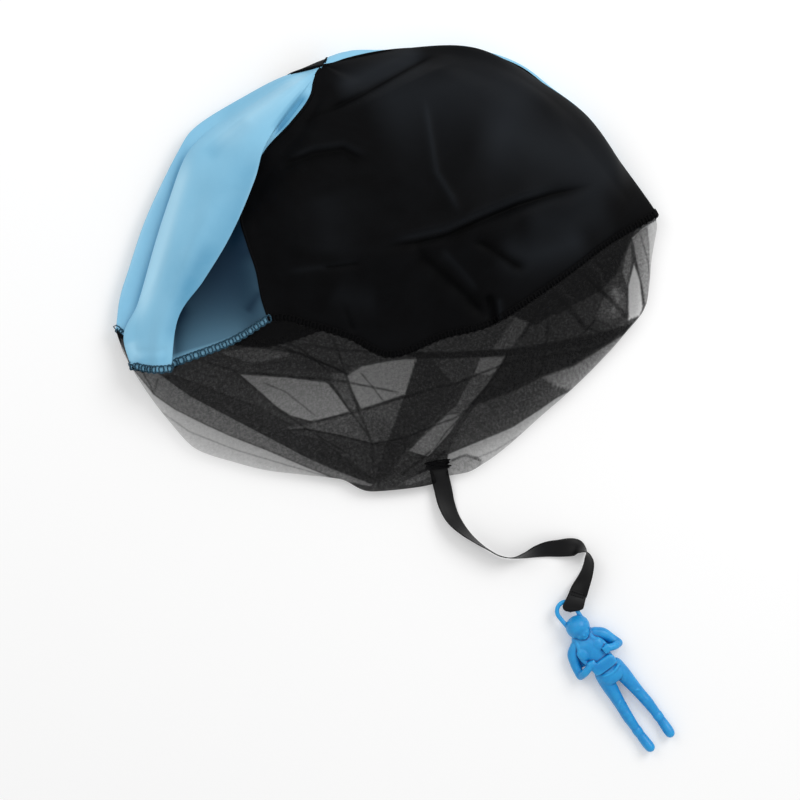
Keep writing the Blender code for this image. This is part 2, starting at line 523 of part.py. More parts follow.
def strap(name, points, roll, width, thickness, origin, finish, where):
    """Flat band with rounded edges along points. Roll is in degrees, 0 lying flat."""
    data = bpy.data.curves.new(name, "CURVE")
    data.dimensions = "3D"
    data.twist_mode = "Z_UP"
    data.extrude = (width - thickness) / 2
    data.bevel_depth = thickness / 2
    data.bevel_resolution = 1
    data.use_fill_caps = True
    spline = data.splines.new("POLY")
    spline.points.add(len(points) - 1)
    for point, place, turn in zip(spline.points, points - origin, roll):
        point.co = (*place, 1.0)
        point.tilt = math.radians(turn + QUARTER_TURN)
    made = bpy.data.objects.new(name, data)
    where.objects.link(made)
    data.materials.append(finish)
    made.location = origin
    return made


def neck_outline(turns, side_way, reach):
    """Points round the neck, from its middle: round ends and gently arched sides, let out by the reach."""
    across = np.clip(np.cos(turns) * ARCHED_RATE, -1.0, 1.0) * (NECK_HALF_WIDTH - NECK_HALF_HEIGHT)
    across += np.cos(turns) * (NECK_HALF_HEIGHT + reach)
    rise = np.sin(turns) * (NECK_HALF_HEIGHT + reach)
    return across[:, None] * side_way + rise[:, None] * np.array([0.0, 0.0, 1.0])


def band_object(name, middle, thickness, width, place, finish, where):
    """Closed flat band: an outline with its own opening, standing on edge, drawn out to its width. The middle
    line of its wall is given in its own plane."""
    way = np.roll(middle, -1, axis=0) - np.roll(middle, 1, axis=0)
    way /= np.linalg.norm(way, axis=1)[:, None]
    out = np.column_stack([way[:, 1], -way[:, 0]])
    data = bpy.data.curves.new(name, "CURVE")
    data.dimensions = "2D"
    data.fill_mode = "BOTH"
    data.extrude = width / 2
    for side in (-1.0, 1.0):
        outline = middle + out * thickness / 2 * side
        spline = data.splines.new("POLY")
        spline.points.add(len(outline) - 1)
        for point, spot in zip(spline.points, outline):
            point.co = (*spot, 0.0, 1.0)
        spline.use_cyclic_u = True
    made = bpy.data.objects.new(name, data)
    where.objects.link(made)
    data.materials.append(finish)
    made.matrix_world = place
    return made


def main():
    for old in list(bpy.data.objects):
        bpy.data.objects.remove(old, do_unlink=True)
    parts = collection(NAME)
    blue_cloth = material("light_blue_nylon", (0.22, 0.48, 0.70), 0.5)
    black_cloth = material("black_nylon", (0.012, 0.012, 0.015), 0.55)
    dark_thread = material("dark_thread", (0.03, 0.06, 0.10), 0.7)
    black_net = material("black_tulle", (0.03, 0.03, 0.035), 0.6)
    satin = material("black_satin", (0.01, 0.01, 0.012), 0.35)
    blue_plastic = material("blue_plastic", (0.02, 0.28, 0.73), 0.35)

    # Canopy quarters, each held off its seams and off the hem roll.
    quarters = (
        ("panel_left_blue", LEFT_BLUE_LINES_PX_HEIGHT_SHARES, LEFT_BLUE_ACROSS_SHARES,
         LEFT_BLUE_COLUMN_SHARES, blue_cloth),
        ("panel_front_black", FRONT_BLACK_LINES_PX_HEIGHT_SHARES, FRONT_BLACK_ACROSS_SHARES,
         FRONT_BLACK_COLUMN_SHARES, black_cloth),
        ("panel_back_blue", BACK_BLUE_LINES_PX_HEIGHT_SHARES, BACK_BLUE_ACROSS_SHARES,
         BACK_BLUE_COLUMN_SHARES, blue_cloth),
        ("panel_back_black", BACK_BLACK_LINES_PX_HEIGHT_SHARES, BACK_BLACK_ACROSS_SHARES,
         BACK_BLACK_COLUMN_SHARES, black_cloth),
    )
    fine_shares = np.linspace(0.0, 1.0, FINE)
    tables = {}
    hem_parts = []
    hem_places = []
    for place, (name, lines, across, shares, finish) in enumerate(quarters):
        fine = quarter(lines, across)
        tables[name] = fine
        columns = np.array(shares[:-1])
        edge = fine[-1]
        hem_parts.append(np.column_stack([np.interp(columns, fine_shares, edge[:, axis]) for axis in range(3)]))
        hem_places.append(place + columns)
    hem_line = np.vstack(hem_parts)
    net_at = np.concatenate(hem_places)
    rows = [round(share * (FINE - 1)) for share in ROW_SHARES]
    for name, lines, across, shares, finish in quarters:
        table = tables[name]
        inside = between_seams(table, rows, shares, SEAM_RADIUS + GAP)
        last = between_seams(table, list(range(rows[-1], FINE)), shares, SEAM_RADIUS + GAP)
        ends = [held_start(last[::-1, k], hem_line, HEM_RADIUS + GAP, True) for k in range(len(shares))]
        edge = np.array([last[len(last) - 1 - end, k] for k, end in enumerate(ends)])
        grid_object(name, np.concatenate([inside, edge[None]]), CLOTH, False, finish, parts)

    # Seams. The long one crosses the crown.
    stations = [0, *rows, FINE - 1]
    left_seam = tables["panel_left_blue"][stations, 0]
    front_seam = tables["panel_left_blue"][stations, -1]
    right_seam = tables["panel_front_black"][stations, -1]
    back_seam = tables["panel_back_blue"][stations, -1]
    end_cut = HEM_RADIUS + GAP
    start_cut = 2 * SEAM_RADIUS + GAP
    long_seam = cut_ends(np.vstack([left_seam[::-1], right_seam[1:]]), end_cut, end_cut, start_cut)
    tube("seam_long", long_seam, SEAM_RADIUS, False, dark_thread, parts)
    tube("seam_front", cut_ends(front_seam, start_cut, end_cut, start_cut), SEAM_RADIUS, False, dark_thread, parts)
    tube("seam_back", cut_ends(back_seam, start_cut, end_cut, start_cut), SEAM_RADIUS, False, dark_thread, parts)

    # Hem roll.
    tube("hem_overlock", hem_line, HEM_RADIUS, True, dark_thread, parts)

    # Net skirt.
    out_way = np.array([math.cos(NECK_TURN), math.sin(NECK_TURN), 0.0])
    side_way = np.array([-out_way[1], out_way[0], 0.0])
    neck_height = NECK_HALF_HEIGHT + NET / 2 + GAP + 2 * BINDING_RADIUS + TABLE_CLEARANCE
    neck_middle = to_world([*NECK_PX, neck_height])
    places = np.array([place for place, _ in NET_LINES_PX_HEIGHT_SHARES])
    rays = []
    for place, table in NET_LINES_PX_HEIGHT_SHARES:
        points = np.array(table, float)
        seen = np.column_stack([points[:, :2], points[:, 2] * CANOPY_HEIGHT + NET / 2])
        rays.append(to_world(seen))
    rays = np.array(rays)
    wrapped = np.concatenate([rays[-3:], rays, rays[:3]])
    keys = np.concatenate([places[-3:] - 4, places, places[:3] + 4])
    plan = free(keys, wrapped[:, :, :2], net_at)
    height = gentle(keys, wrapped[:, :, 2:], net_at)
    middle = np.concatenate([plan, height], axis=-1)
    turn = math.pi - net_at / 4 * math.tau
    mouth = neck_middle + neck_outline(turn, side_way, 0.0)
    end = mouth + out_way * NECK_LENGTH
    stack = np.concatenate([hem_line[:, None], middle, mouth[:, None], end[:, None]], axis=1)
    frame = np.stack([side_way, out_way, np.cross(side_way, out_way)])
    steps = np.linspace(0.0, 1.0, stack.shape[1])
    before_neck = np.linspace(0.0, steps[-2], FINE)
    net_table = gentle(steps, (stack @ frame.T).transpose(1, 0, 2), before_neck) @ frame
    net_rows = np.linspace(0.0, 1.0, NET_ROWS)
    net_table = clear_of(net_table, hem_line, HEM_RADIUS + 2 * GAP + NET / 2, net_rows)
    net_table = np.concatenate([net_table, end[None]])
    net_table = np.concatenate([net_table, net_table[:, :1]], axis=1)
    grid_object("net_skirt", net_table, NET, True, black_net, parts)

    # Binding round the neck.
    reach = NET / 2 + GAP + BINDING_RADIUS
    turns = np.linspace(0.0, math.tau, 28, endpoint=False)
    binding_middle = neck_middle + out_way * (NECK_LENGTH - BINDING_RADIUS - GAP)
    binding = binding_middle + neck_outline(turns, side_way, reach)
    tube("net_gather_binding", binding, BINDING_RADIUS, True, dark_thread, parts)

    # Ribbon, from the neck to the lap of its end loop.
    route = np.array(RIBBON_ROUTE)
    stations = to_world(route[:, :3])
    ring_height = HELMET_RADIUS - REST_CUT
    ring_middle = to_world([*RING_PX, ring_height])
    loop_way = stations[-1] - ring_middle
    loop_way[2] = 0.0
    loop_way /= np.linalg.norm(loop_way)
    stations[0] = neck_middle + out_way * NECK_LENGTH / 2
    stations[-1] = ring_middle + loop_way * (LAP_END + GAP)
    stations[-2] = ring_middle + loop_way * (LAP_END + RIBBON_WIDTH * LAST_BEND_SHARE)
    keys = chord_keys(stations)
    ribbon_at = np.linspace(0.0, 1.0, RIBBON_STEPS)
    strap("ribbon", free(keys, stations, ribbon_at), gentle(keys, route[:, 3:], ribbon_at)[:, 0],
          RIBBON_WIDTH, RIBBON_THICKNESS, stations[0], satin, parts)

    # End loop: a flat band through the ring, its two layers stitched together at the lap.
    half = LOOP_THICKNESS / 2
    lap_half = half + GAP / 2
    round_half = RING_BAR_RADIUS + GAP + half
    reach = RING_RADIUS + RING_BAR_RADIUS + GAP
    band = []
    for share in np.linspace(-0.5, 0.5, 7):
        turn = math.pi * share
        band.append((LAP_END - lap_half - half + lap_half * math.cos(turn), lap_half * math.sin(turn)))
    rise = np.linspace(0.0, 1.0, 6)
    slope = 3 * rise**2 - 2 * rise**3
    for f, g in zip(rise, slope):
        band.append((LAP_START + (reach - LAP_START) * f, lap_half + (round_half - lap_half) * g))
    inner = LOOP_REACH + half
    bulge = RING_RADIUS - RING_BAR_RADIUS - GAP - half - inner
    for share in np.linspace(0.5, 1.5, 11):
        turn = math.pi * share
        band.append((inner + bulge / 2 * (1 + math.cos(turn)), round_half * math.sin(turn)))
    for f, g in zip(rise[::-1], slope[::-1]):
        band.append((LAP_START + (reach - LAP_START) * f, -lap_half - (round_half - lap_half) * g))
    # It lifts about the upper edge of its end, where its origin is.
    lift_edge = np.array([LAP_END, LOOP_THICKNESS + GAP / 2])
    lift_axis = ring_middle + loop_way * LAP_END + np.array([0.0, 0.0, lift_edge[1]])
    place = Matrix((
        (loop_way[0], 0.0, loop_way[1], lift_axis[0]),
        (loop_way[1], 0.0, -loop_way[0], lift_axis[1]),
        (0.0, 1.0, 0.0, lift_axis[2]),
        (0.0, 0.0, 0.0, 1.0),
    ))
    band_object("ribbon_end_loop", np.array(band) - lift_edge, LOOP_THICKNESS, LOOP_WIDTH, place, satin, parts)

    # Stitches of the lap, one closed line of thread lying on its upper layer.
    stitch_height = 2 * half + GAP / 2 + GAP + STITCH_RADIUS
    length_half = (LAP_END - LAP_START) / 2 - STITCH_RADIUS - GAP
    width_half = LOOP_WIDTH / 2 - STITCH_INSET
    lap_middle = ring_middle + loop_way * (LAP_START + LAP_END) / 2
    across_way = np.array([-loop_way[1], loop_way[0], 0.0])
    turns = np.linspace(0.0, math.tau, 16, endpoint=False)
    box = (
        lap_middle
        + np.cos(turns)[:, None] * width_half * across_way
        + np.sin(turns)[:, None] * length_half * loop_way
        + np.array([0.0, 0.0, stitch_height])
    )
    tube("loop_stitching", box, STITCH_RADIUS, True, dark_thread, parts)

    figure(ring_middle, blue_plastic, parts)


def limb(points, where):
    """Round limb through points, each with its own radius, rounded off at both ends. Local x across, y up the
    body and z off the table."""
    points = np.array(points, float)
    keys = chord_keys(points[:, :3])
    at = np.linspace(0.0, 1.0, LIMB_STEPS)
    body = free(keys, points[:, :3], at)
    radius = gentle(keys, points[:, 3:], at)[:, 0]
    stations = []
    for end, inner, sign in ((0, 1, -1.0), (-1, -2, 1.0)):
        way = body[end] - body[inner]
        way /= np.linalg.norm(way)
        turns = np.radians(END_TURNS)
        cap = [(*(body[end] + way * radius[end] * math.sin(t)), radius[end] * math.cos(t)) for t in turns]
        stations.append(cap)
    first = stations[0][::-1]
    last = stations[1]
    core = [(*place, size) for place, size in zip(body, radius)]
    rows = np.array(first + core + last)
    data = bpy.data.curves.new("limb", "CURVE")
    data.dimensions = "3D"
    data.bevel_depth = rows[:, 3].max()
    data.bevel_resolution = LIMB_SIDES
    data.use_fill_caps = True
    spline = data.splines.new("POLY")
    spline.points.add(len(rows) - 1)
    for point, row in zip(spline.points, rows):
        point.co = (*row[:3], 1.0)
        point.radius = row[3] / data.bevel_depth
    rough = bpy.data.objects.new("limb", data)
    where.objects.link(rough)
    mesh = evaluated(rough)
    bpy.data.objects.remove(rough, do_unlink=True)
    return solid(mesh, where)


def solid(mesh, where, scale=(1.0, 1.0, 1.0), place=(0.0, 0.0, 0.0)):
    """A closed mesh as an object of its own, scaled and placed in its own points."""
    work = bmesh.new()
    work.from_mesh(mesh)
    bmesh.ops.remove_doubles(work, verts=work.verts, dist=MERGE)
    bmesh.ops.scale(work, vec=scale, verts=work.verts)
    bmesh.ops.translate(work, vec=place, verts=work.verts)
    bmesh.ops.recalc_face_normals(work, faces=work.faces)
    work.to_mesh(mesh)
    work.free()
    mesh.materials.clear()
    made = bpy.data.objects.new("form", mesh)
    where.objects.link(made)
    return made


def ball(radius, scale, place, where):
    work = bmesh.new()
    bmesh.ops.create_uvsphere(work, u_segments=18, v_segments=11, radius=radius)
    mesh = bpy.data.meshes.new("ball")
    work.to_mesh(mesh)
    work.free()
    return solid(mesh, where, scale, place)


def rounded_block(size, radius, place, where):
    work = bmesh.new()
    bmesh.ops.create_cube(work, size=1.0)
    bmesh.ops.scale(work, vec=size, verts=work.verts)
    bmesh.ops.bevel(work, geom=work.edges[:], offset=radius, segments=3, affect="EDGES", profile=0.5)
    mesh = bpy.data.meshes.new("block")
    work.to_mesh(mesh)
    work.free()
    return solid(mesh, where, place=place)


def figure(ring_middle, finish, parts):
    """The jumper and the ring over their head, as one moulding."""
    forms = collection("figure_forms")
    rest = -ring_middle[2]
    torso_height = rest + TORSO_HALF_DEPTH - REST_CUT
    chest = torso_height + TORSO_HALF_DEPTH
    low = rest - REST_CUT

    def at(along, across, height, radius):
        return (across, -along * FIGURE_REACH, height, radius)

    # The ring: a half circle over the head and two legs down into the helmet.
    turns = np.linspace(0.0, math.pi, 19)
    arch = [(RING_RADIUS * math.cos(t), RING_RADIUS * math.sin(t), 0.0) for t in turns]
    foot_inward = RING_RADIUS * RING_FOOT_SHARE
    arch = [(foot_inward, -RING_LEG, 0.0), *arch, (-foot_inward, -RING_LEG, 0.0)]
    rough = tube("ring", arch, RING_BAR_RADIUS, False, finish, forms, LIMB_SIDES - 1)
    mesh = evaluated(rough)
    bpy.data.objects.remove(rough, do_unlink=True)
    pieces = [solid(mesh, forms)]

    helmet = (0.0, -HELMET_PLACE, 0.0)
    pieces.append(ball(HELMET_RADIUS, (1.0, 0.96, 1.0), helmet, forms))
    pieces.append(ball(FACE_RADIUS, (0.96, 1.1, 0.9), (0.0, -FACE_PLACE, FACE_RISE), forms))
    pieces.append(limb((
        at(0.145, 0.0, torso_height + NECK_RISE, THROAT_RADIUS),
        at(0.205, 0.0, torso_height + NECK_RISE / 2, THROAT_RADIUS),
    ), forms))
    torso = limb((
        at(0.215, 0.0, 0.0, TORSO_HALF_WIDTH * 0.88),
        at(0.275, 0.0, 0.0, TORSO_HALF_WIDTH),
        at(0.345, 0.0, 0.0, TORSO_HALF_WIDTH * 0.86),
        at(0.41, 0.0, 0.0, TORSO_HALF_WIDTH * 0.80),
        at(0.455, 0.0, 0.0, TORSO_HALF_WIDTH * 0.84),
    ), forms)
    torso.data.transform(Matrix.Translation((0.0, 0.0, torso_height))
                         @ Matrix.Diagonal((1.0, 1.0, TORSO_HALF_DEPTH / TORSO_HALF_WIDTH, 1.0)))
    pieces.append(torso)
    for side in (-1.0, 1.0):
        pieces.append(ball(CHEST_RADIUS, (1.0, 1.1, 0.8), (
            side * CHEST_HALF_SPAN, -CHEST_PLACE, chest - CHEST_RADIUS * 0.35
        ), forms))
        shoulder = at(0.205, side * SHOULDER_HALF_SPAN, torso_height, UPPER_ARM_RADIUS * 1.15)
        elbow = at(0.358, side * ELBOW_HALF_SPAN, low + FOREARM_RADIUS * 2.1, UPPER_ARM_RADIUS * 0.92)
        hand = at(0.322, side * HAND_HALF_SPAN, chest + HAND_RADIUS * 0.5, HAND_RADIUS)
        pieces.append(limb((
            shoulder,
            at(0.285, side * (SHOULDER_HALF_SPAN + ELBOW_HALF_SPAN) / 2 * 1.04, torso_height, UPPER_ARM_RADIUS),
            elbow,
        ), forms))
        pieces.append(limb((
            (*elbow[:3], UPPER_ARM_RADIUS * 0.9),
            at(0.343, side * (ELBOW_HALF_SPAN + HAND_HALF_SPAN) / 2, torso_height + FOREARM_RADIUS,
               FOREARM_RADIUS),
            hand,
        ), forms))
        hip = at(0.452, side * HIP_HALF_SPAN, low + THIGH_RADIUS, THIGH_RADIUS)
        knee = at(0.735, side * KNEE_HALF_SPAN, low + CALF_RADIUS * 1.2, CALF_RADIUS)
        ankle = at(0.91, side * FOOT_HALF_SPAN * 1.04, low + ANKLE_RADIUS * 1.25, ANKLE_RADIUS)
        pieces.append(limb((
            hip,
            at(0.59, side * (HIP_HALF_SPAN + KNEE_HALF_SPAN) / 2 * 0.94, low + THIGH_RADIUS * 0.9,
               THIGH_RADIUS * 0.84),
            knee,
            at(0.82, side * KNEE_HALF_SPAN * 1.03, low + CALF_RADIUS, CALF_RADIUS),
            ankle,
        ), forms))
        pieces.append(limb((
            (ankle[0], ankle[1] + FOOT_RADIUS * 0.5, low + FOOT_RADIUS, FOOT_RADIUS * 0.92),
            (side * FOOT_HALF_SPAN, -FIGURE_REACH + FOOT_RADIUS, low + FOOT_RADIUS + FOOT_RISE, FOOT_RADIUS),
        ), forms))
        pieces.append(limb((
            at(0.175, side * THROAT_RADIUS * 1.05, torso_height + NECK_RISE * 1.5, STRAP_RADIUS),
            at(0.235, side * CHEST_HALF_SPAN * 0.85, chest + STRAP_RADIUS * 0.9, STRAP_RADIUS),
            at(0.315, side * STRAP_RADIUS * 1.4, chest + STRAP_RADIUS * 1.2, STRAP_RADIUS),
        ), forms))
    pieces.append(rounded_block(
        (PACK_WIDTH, PACK_LENGTH, PACK_DEPTH), PACK_ROUND, (0.0, -PACK_PLACE, chest), forms
    ))
    whole = pieces[0]
    for other in pieces[1:]:
        join = whole.modifiers.new("join", "BOOLEAN")
        join.operation = "UNION"
        join.solver = "EXACT"
        join.object = other
        mesh = evaluated(whole)
        whole.modifiers.clear()
        whole.data = mesh
        bpy.data.objects.remove(other, do_unlink=True)

    mesh = whole.data
    bpy.data.objects.remove(whole, do_unlink=True)
    bpy.data.collections.remove(forms)
    mesh.transform(Matrix.Rotation(FIGURE_TURN + math.pi / 2, 4, "Z"))
    made = add_mesh("figure", mesh, parts, finish)
    made.location = ring_middle

    # The flats that the figure lies on.
    cutters = collection("cutters")
    block = bmesh.new()
    bmesh.ops.create_cube(block, size=1.0)
    bmesh.ops.scale(block, vec=(FIGURE_REACH * 2 + CUT_OVERRUN, FIGURE_REACH * 2 + CUT_OVERRUN, CUT_OVERRUN),
                    verts=block.verts)
    table = bpy.data.meshes.new("table_cutter")
    block.to_mesh(table)
    block.free()
    cutter = bpy.data.objects.new("table_cutter", table)
    cutters.objects.link(cutter)
    cutter.location = (ring_middle[0], ring_middle[1], -CUT_OVERRUN / 2)
    cutter.hide_render = True
    cutter.display_type = "WIRE"
    flats = made.modifiers.new("flats", "BOOLEAN")
    flats.operation = "DIFFERENCE"
    flats.solver = "EXACT"
    flats.object = cutter


main()
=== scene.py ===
import math

import bmesh
import bpy
import numpy as np
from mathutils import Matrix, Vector


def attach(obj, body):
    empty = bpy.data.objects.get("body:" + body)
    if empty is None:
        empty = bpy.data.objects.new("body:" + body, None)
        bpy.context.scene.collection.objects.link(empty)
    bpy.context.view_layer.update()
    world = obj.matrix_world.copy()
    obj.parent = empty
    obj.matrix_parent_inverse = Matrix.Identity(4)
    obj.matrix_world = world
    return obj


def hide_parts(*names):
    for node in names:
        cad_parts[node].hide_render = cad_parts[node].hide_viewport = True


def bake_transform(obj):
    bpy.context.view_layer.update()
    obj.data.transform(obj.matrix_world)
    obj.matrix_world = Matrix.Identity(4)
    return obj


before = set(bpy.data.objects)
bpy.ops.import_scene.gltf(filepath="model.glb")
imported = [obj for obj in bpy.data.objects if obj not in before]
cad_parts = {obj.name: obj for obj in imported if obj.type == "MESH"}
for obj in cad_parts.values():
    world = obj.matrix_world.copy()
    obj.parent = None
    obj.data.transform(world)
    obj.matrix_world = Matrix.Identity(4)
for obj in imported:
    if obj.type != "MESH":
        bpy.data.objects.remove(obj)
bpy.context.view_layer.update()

# Picture plane: the table seen from straight above, 0.55 mm to a picture pixel.
PIXEL_SIZE = 0.00055
VIEW_HEIGHT = 1.1
ORIGIN_PX = (400.0, 200.0)
VIEW_AXIS_PX = (400.0, 400.0)
CANOPY_HEIGHT = 0.060
CLOTH = 0.0003
SEAM_RADIUS = 0.0007
HEM_RADIUS = 0.0012
TABLE_CLEARANCE = 0.0001
RIBBON_WIDTH = 0.010
RIBBON_THICKNESS = 0.0005
Z_UP = np.array([0.0, 0.0, 1.0])


# ---- camera ----

camera_data = bpy.data.cameras.new("camera")
camera_data.lens = 90.0
camera_data.sensor_width = 36.0
camera_data.clip_start = 0.05
camera_data.clip_end = 5.0
camera = bpy.data.objects.new("camera", camera_data)
bpy.context.scene.collection.objects.link(camera)
camera.location = (0.0, (ORIGIN_PX[1] - VIEW_AXIS_PX[1]) * PIXEL_SIZE, VIEW_HEIGHT)
bpy.context.scene.camera = camera


# ---- curves and places ----

def through(keys, values, at, inner):
    """Cubic through the values. Inner gives the slopes at the inner keys, from the slopes and widths on both sides."""
    keys = np.asarray(keys, float)
    values = np.asarray(values, float)
    flat = values.reshape(len(keys), -1)
    width = np.diff(keys)[:, None]
    slope = np.diff(flat, axis=0) / width
    tangent = np.concatenate([slope[:1], inner(slope[:-1], slope[1:], width[:-1], width[1:]), slope[-1:]])
    at = np.clip(np.asarray(at, float), keys[0], keys[-1])
    k = np.clip(np.searchsorted(keys, at, side="right") - 1, 0, len(keys) - 2)
    f = (at - keys[k])[:, None] / width[k]
    line = (flat[k] * (2 * f**3 - 3 * f**2 + 1) + tangent[k] * width[k] * (f**3 - 2 * f**2 + f)
            + flat[k + 1] * (3 * f**2 - 2 * f**3) + tangent[k + 1] * width[k] * (f**3 - f**2))
    return line.reshape(len(at), *values.shape[1:])


def gentle(keys, values, at):
    """Cubic through the values that never overshoots them: slopes are the harmonic mean of both neighbours'."""
    def harmonic(before, after, *_):
        same = before * after > 0
        return np.where(same, 2 * before * after / np.where(same, before + after, 1.0), 0.0)
    return through(keys, values, at, harmonic)


def free(keys, values, at):
    """Smooth cubic through the values: slopes are the mean of both neighbours', each weighted by the other's width."""
    return through(keys, values, at, lambda before, after, wide_before, wide_after:
                   (before * wide_after + after * wide_before) / (wide_before + wide_after))


def lengths_along(line):
    """Length along the line at each of its points."""
    return np.concatenate([[0.0], np.cumsum(np.linalg.norm(np.diff(line, axis=0), axis=1))])


def sampled(at, keys, line):
    """The line's points at places between its keys."""
    return np.stack([np.interp(at, keys, line[:, axis]) for axis in range(3)], axis=-1)


def chord_keys(points):
    """Each point's share of the way along the line through the points."""
    way = lengths_along(points)
    return way / way[-1]


VIEW_AXIS = np.array([VIEW_AXIS_PX[0] - ORIGIN_PX[0], ORIGIN_PX[1] - VIEW_AXIS_PX[1]]) * PIXEL_SIZE


def to_world(seen):
    """Places from picture x, picture y and height: each offset from the view's axis shrinks with the height."""
    seen = np.asarray(seen, float)
    nearer = (PIXEL_SIZE * (VIEW_HEIGHT - seen[..., 2]) / VIEW_HEIGHT)[..., None]
    offset = (seen[..., :2] - VIEW_AXIS_PX) * (1.0, -1.0)
    return np.concatenate([VIEW_AXIS + offset * nearer, seen[..., 2:]], axis=-1)


def to_seen(places):
    """Picture x, picture y and height from places: to_world undone."""
    nearer = (PIXEL_SIZE * (VIEW_HEIGHT - places[..., 2]) / VIEW_HEIGHT)[..., None]
    offset = (places[..., :2] - VIEW_AXIS) / nearer * (1.0, -1.0)
    return np.concatenate([VIEW_AXIS_PX + offset, places[..., 2:]], axis=-1)


def unit(vectors):
    return vectors / np.maximum(np.linalg.norm(vectors, axis=-1, keepdims=True), 1e-12)


def ways(points, closed=False):
    """Direction of travel at each point of a line: from the point before it to the one after it."""
    if closed:
        return unit(np.roll(points, -1, axis=0) - np.roll(points, 1, axis=0))
    return unit(np.gradient(points, axis=0))


def beside(points, ends):
    """Signed distance of each point from a line in the plane, and the share of the line's way that is nearest."""
    ends = np.asarray(ends, float)
    starts, step = ends[:-1], np.diff(ends, axis=0)
    size = (step**2).sum(axis=1)
    away = points[:, None, :] - starts[None]
    part = np.clip((away * step[None]).sum(axis=2) / size, 0.0, 1.0)
    off = away - part[..., None] * step[None]
    distance = np.linalg.norm(off, axis=2)
    nearest = distance.argmin(axis=1)
    pick = np.arange(len(points))
    side = np.sign(step[nearest, 0] * away[pick, nearest, 1] - step[nearest, 1] * away[pick, nearest, 0])
    before = lengths_along(ends)
    share = (before[nearest] + part[pick, nearest] * np.sqrt(size)[nearest]) / before[-1]
    return distance[pick, nearest] * side, share


def smooth_step(value, low, high):
    f = np.clip((value - low) / (high - low), 0.0, 1.0)
    return f * f * (3 - 2 * f)


def span(value, low, rise, fall, high):
    """1 from rise to fall, and smoothly down to 0 at low and high."""
    return smooth_step(value, low, rise) * smooth_step(-value, -high, -fall)


def ringed(middle, side, up, turn):
    """Rings of points round middles: each middle plus its side times cos(turn) plus its up times sin(turn)."""
    return (middle[..., None, :] + np.cos(turn)[:, None] * side[..., None, :]
            + np.sin(turn)[:, None] * up[..., None, :])


# ---- meshes ----

def patch(grid, uv=None, closed_rows=False, closed_columns=False, values=None):
    """One grid of points as quads, joined end to end where closed. The uv grid has one more row or column there."""
    rows, columns = grid.shape[:2]
    down = rows if closed_rows else rows - 1
    across = columns if closed_columns else columns - 1
    r, c = np.meshgrid(np.arange(down), np.arange(across), indexing="ij")
    corners = [(r, c), (r, c + 1), (r + 1, c + 1), (r + 1, c)]
    faces = np.stack([(a % rows) * columns + b % columns for a, b in corners], axis=-1).reshape(-1, 4)
    if uv is None:
        u, v = np.meshgrid(np.linspace(0, 1, across + 1), np.linspace(0, 1, down + 1))
        uv = np.stack([u, v], axis=-1)
    loops = np.stack([uv[a, b] for a, b in corners], axis=2).reshape(-1, 2)
    values = {name: np.asarray(given, float).reshape(-1) for name, given in (values or {}).items()}
    return {"points": grid.reshape(-1, 3), "faces": faces, "uv": loops, "values": values}


def many(grids, uv=None, closed_rows=False, closed_columns=False):
    """The same grid of quads repeated for a stack of grids, worked out as one array."""
    one = patch(grids[0], uv, closed_rows, closed_columns)
    count, size = len(grids), len(one["points"])
    faces = (one["faces"][None] + (np.arange(count) * size)[:, None, None]).reshape(-1, 4)
    return {"points": grids.reshape(-1, 3), "faces": faces, "uv": np.tile(one["uv"], (count, 1)), "values": {}}


def together(patches):
    """Several patches as one."""
    start = np.cumsum([0] + [len(p["points"]) for p in patches[:-1]])
    names = {name for p in patches for name in p["values"]}
    return {
        "points": np.concatenate([p["points"] for p in patches]),
        "faces": np.concatenate([p["faces"] + s for p, s in zip(patches, start)]),
        "uv": np.concatenate([p["uv"] for p in patches]),
        "values": {
            name: np.concatenate([p["values"].get(name, np.zeros(len(p["points"]))) for p in patches])
            for name in names
        },
    }


def build(name, shape, finish, weld=0.0, outwards=False):
    """The patch as a smooth mesh object at the origin, its points merged where a weld distance is given."""
    mesh = bpy.data.meshes.new(name)
    mesh.vertices.add(len(shape["points"]))
    mesh.vertices.foreach_set("co", shape["points"].reshape(-1))
    mesh.loops.add(shape["faces"].size)
    mesh.loops.foreach_set("vertex_index", shape["faces"].reshape(-1).astype(np.int32))
    mesh.polygons.add(len(shape["faces"]))
    mesh.polygons.foreach_set("loop_start", np.arange(len(shape["faces"]), dtype=np.int32) * 4)
    mesh.update(calc_edges=True)
    layer = mesh.uv_layers.new(name="cloth")
    layer.data.foreach_set("uv", shape["uv"].reshape(-1))
    for label, given in shape["values"].items():
        mesh.attributes.new(label, "FLOAT", "POINT").data.foreach_set("value", given.astype(np.float32))
    if weld or outwards:
        work = bmesh.new()
        work.from_mesh(mesh)
        if weld:
            bmesh.ops.remove_doubles(work, verts=work.verts, dist=weld)
            bmesh.ops.dissolve_degenerate(work, edges=work.edges, dist=weld / 2)
        if outwards:
            bmesh.ops.recalc_face_normals(work, faces=work.faces)
        work.to_mesh(mesh)
        work.free()
    mesh.polygons.foreach_set("use_smooth", np.ones(len(mesh.polygons), dtype=bool))
    mesh.materials.append(finish)
    made = bpy.data.objects.new(name, mesh)
    bpy.context.scene.collection.objects.link(made)
    return made


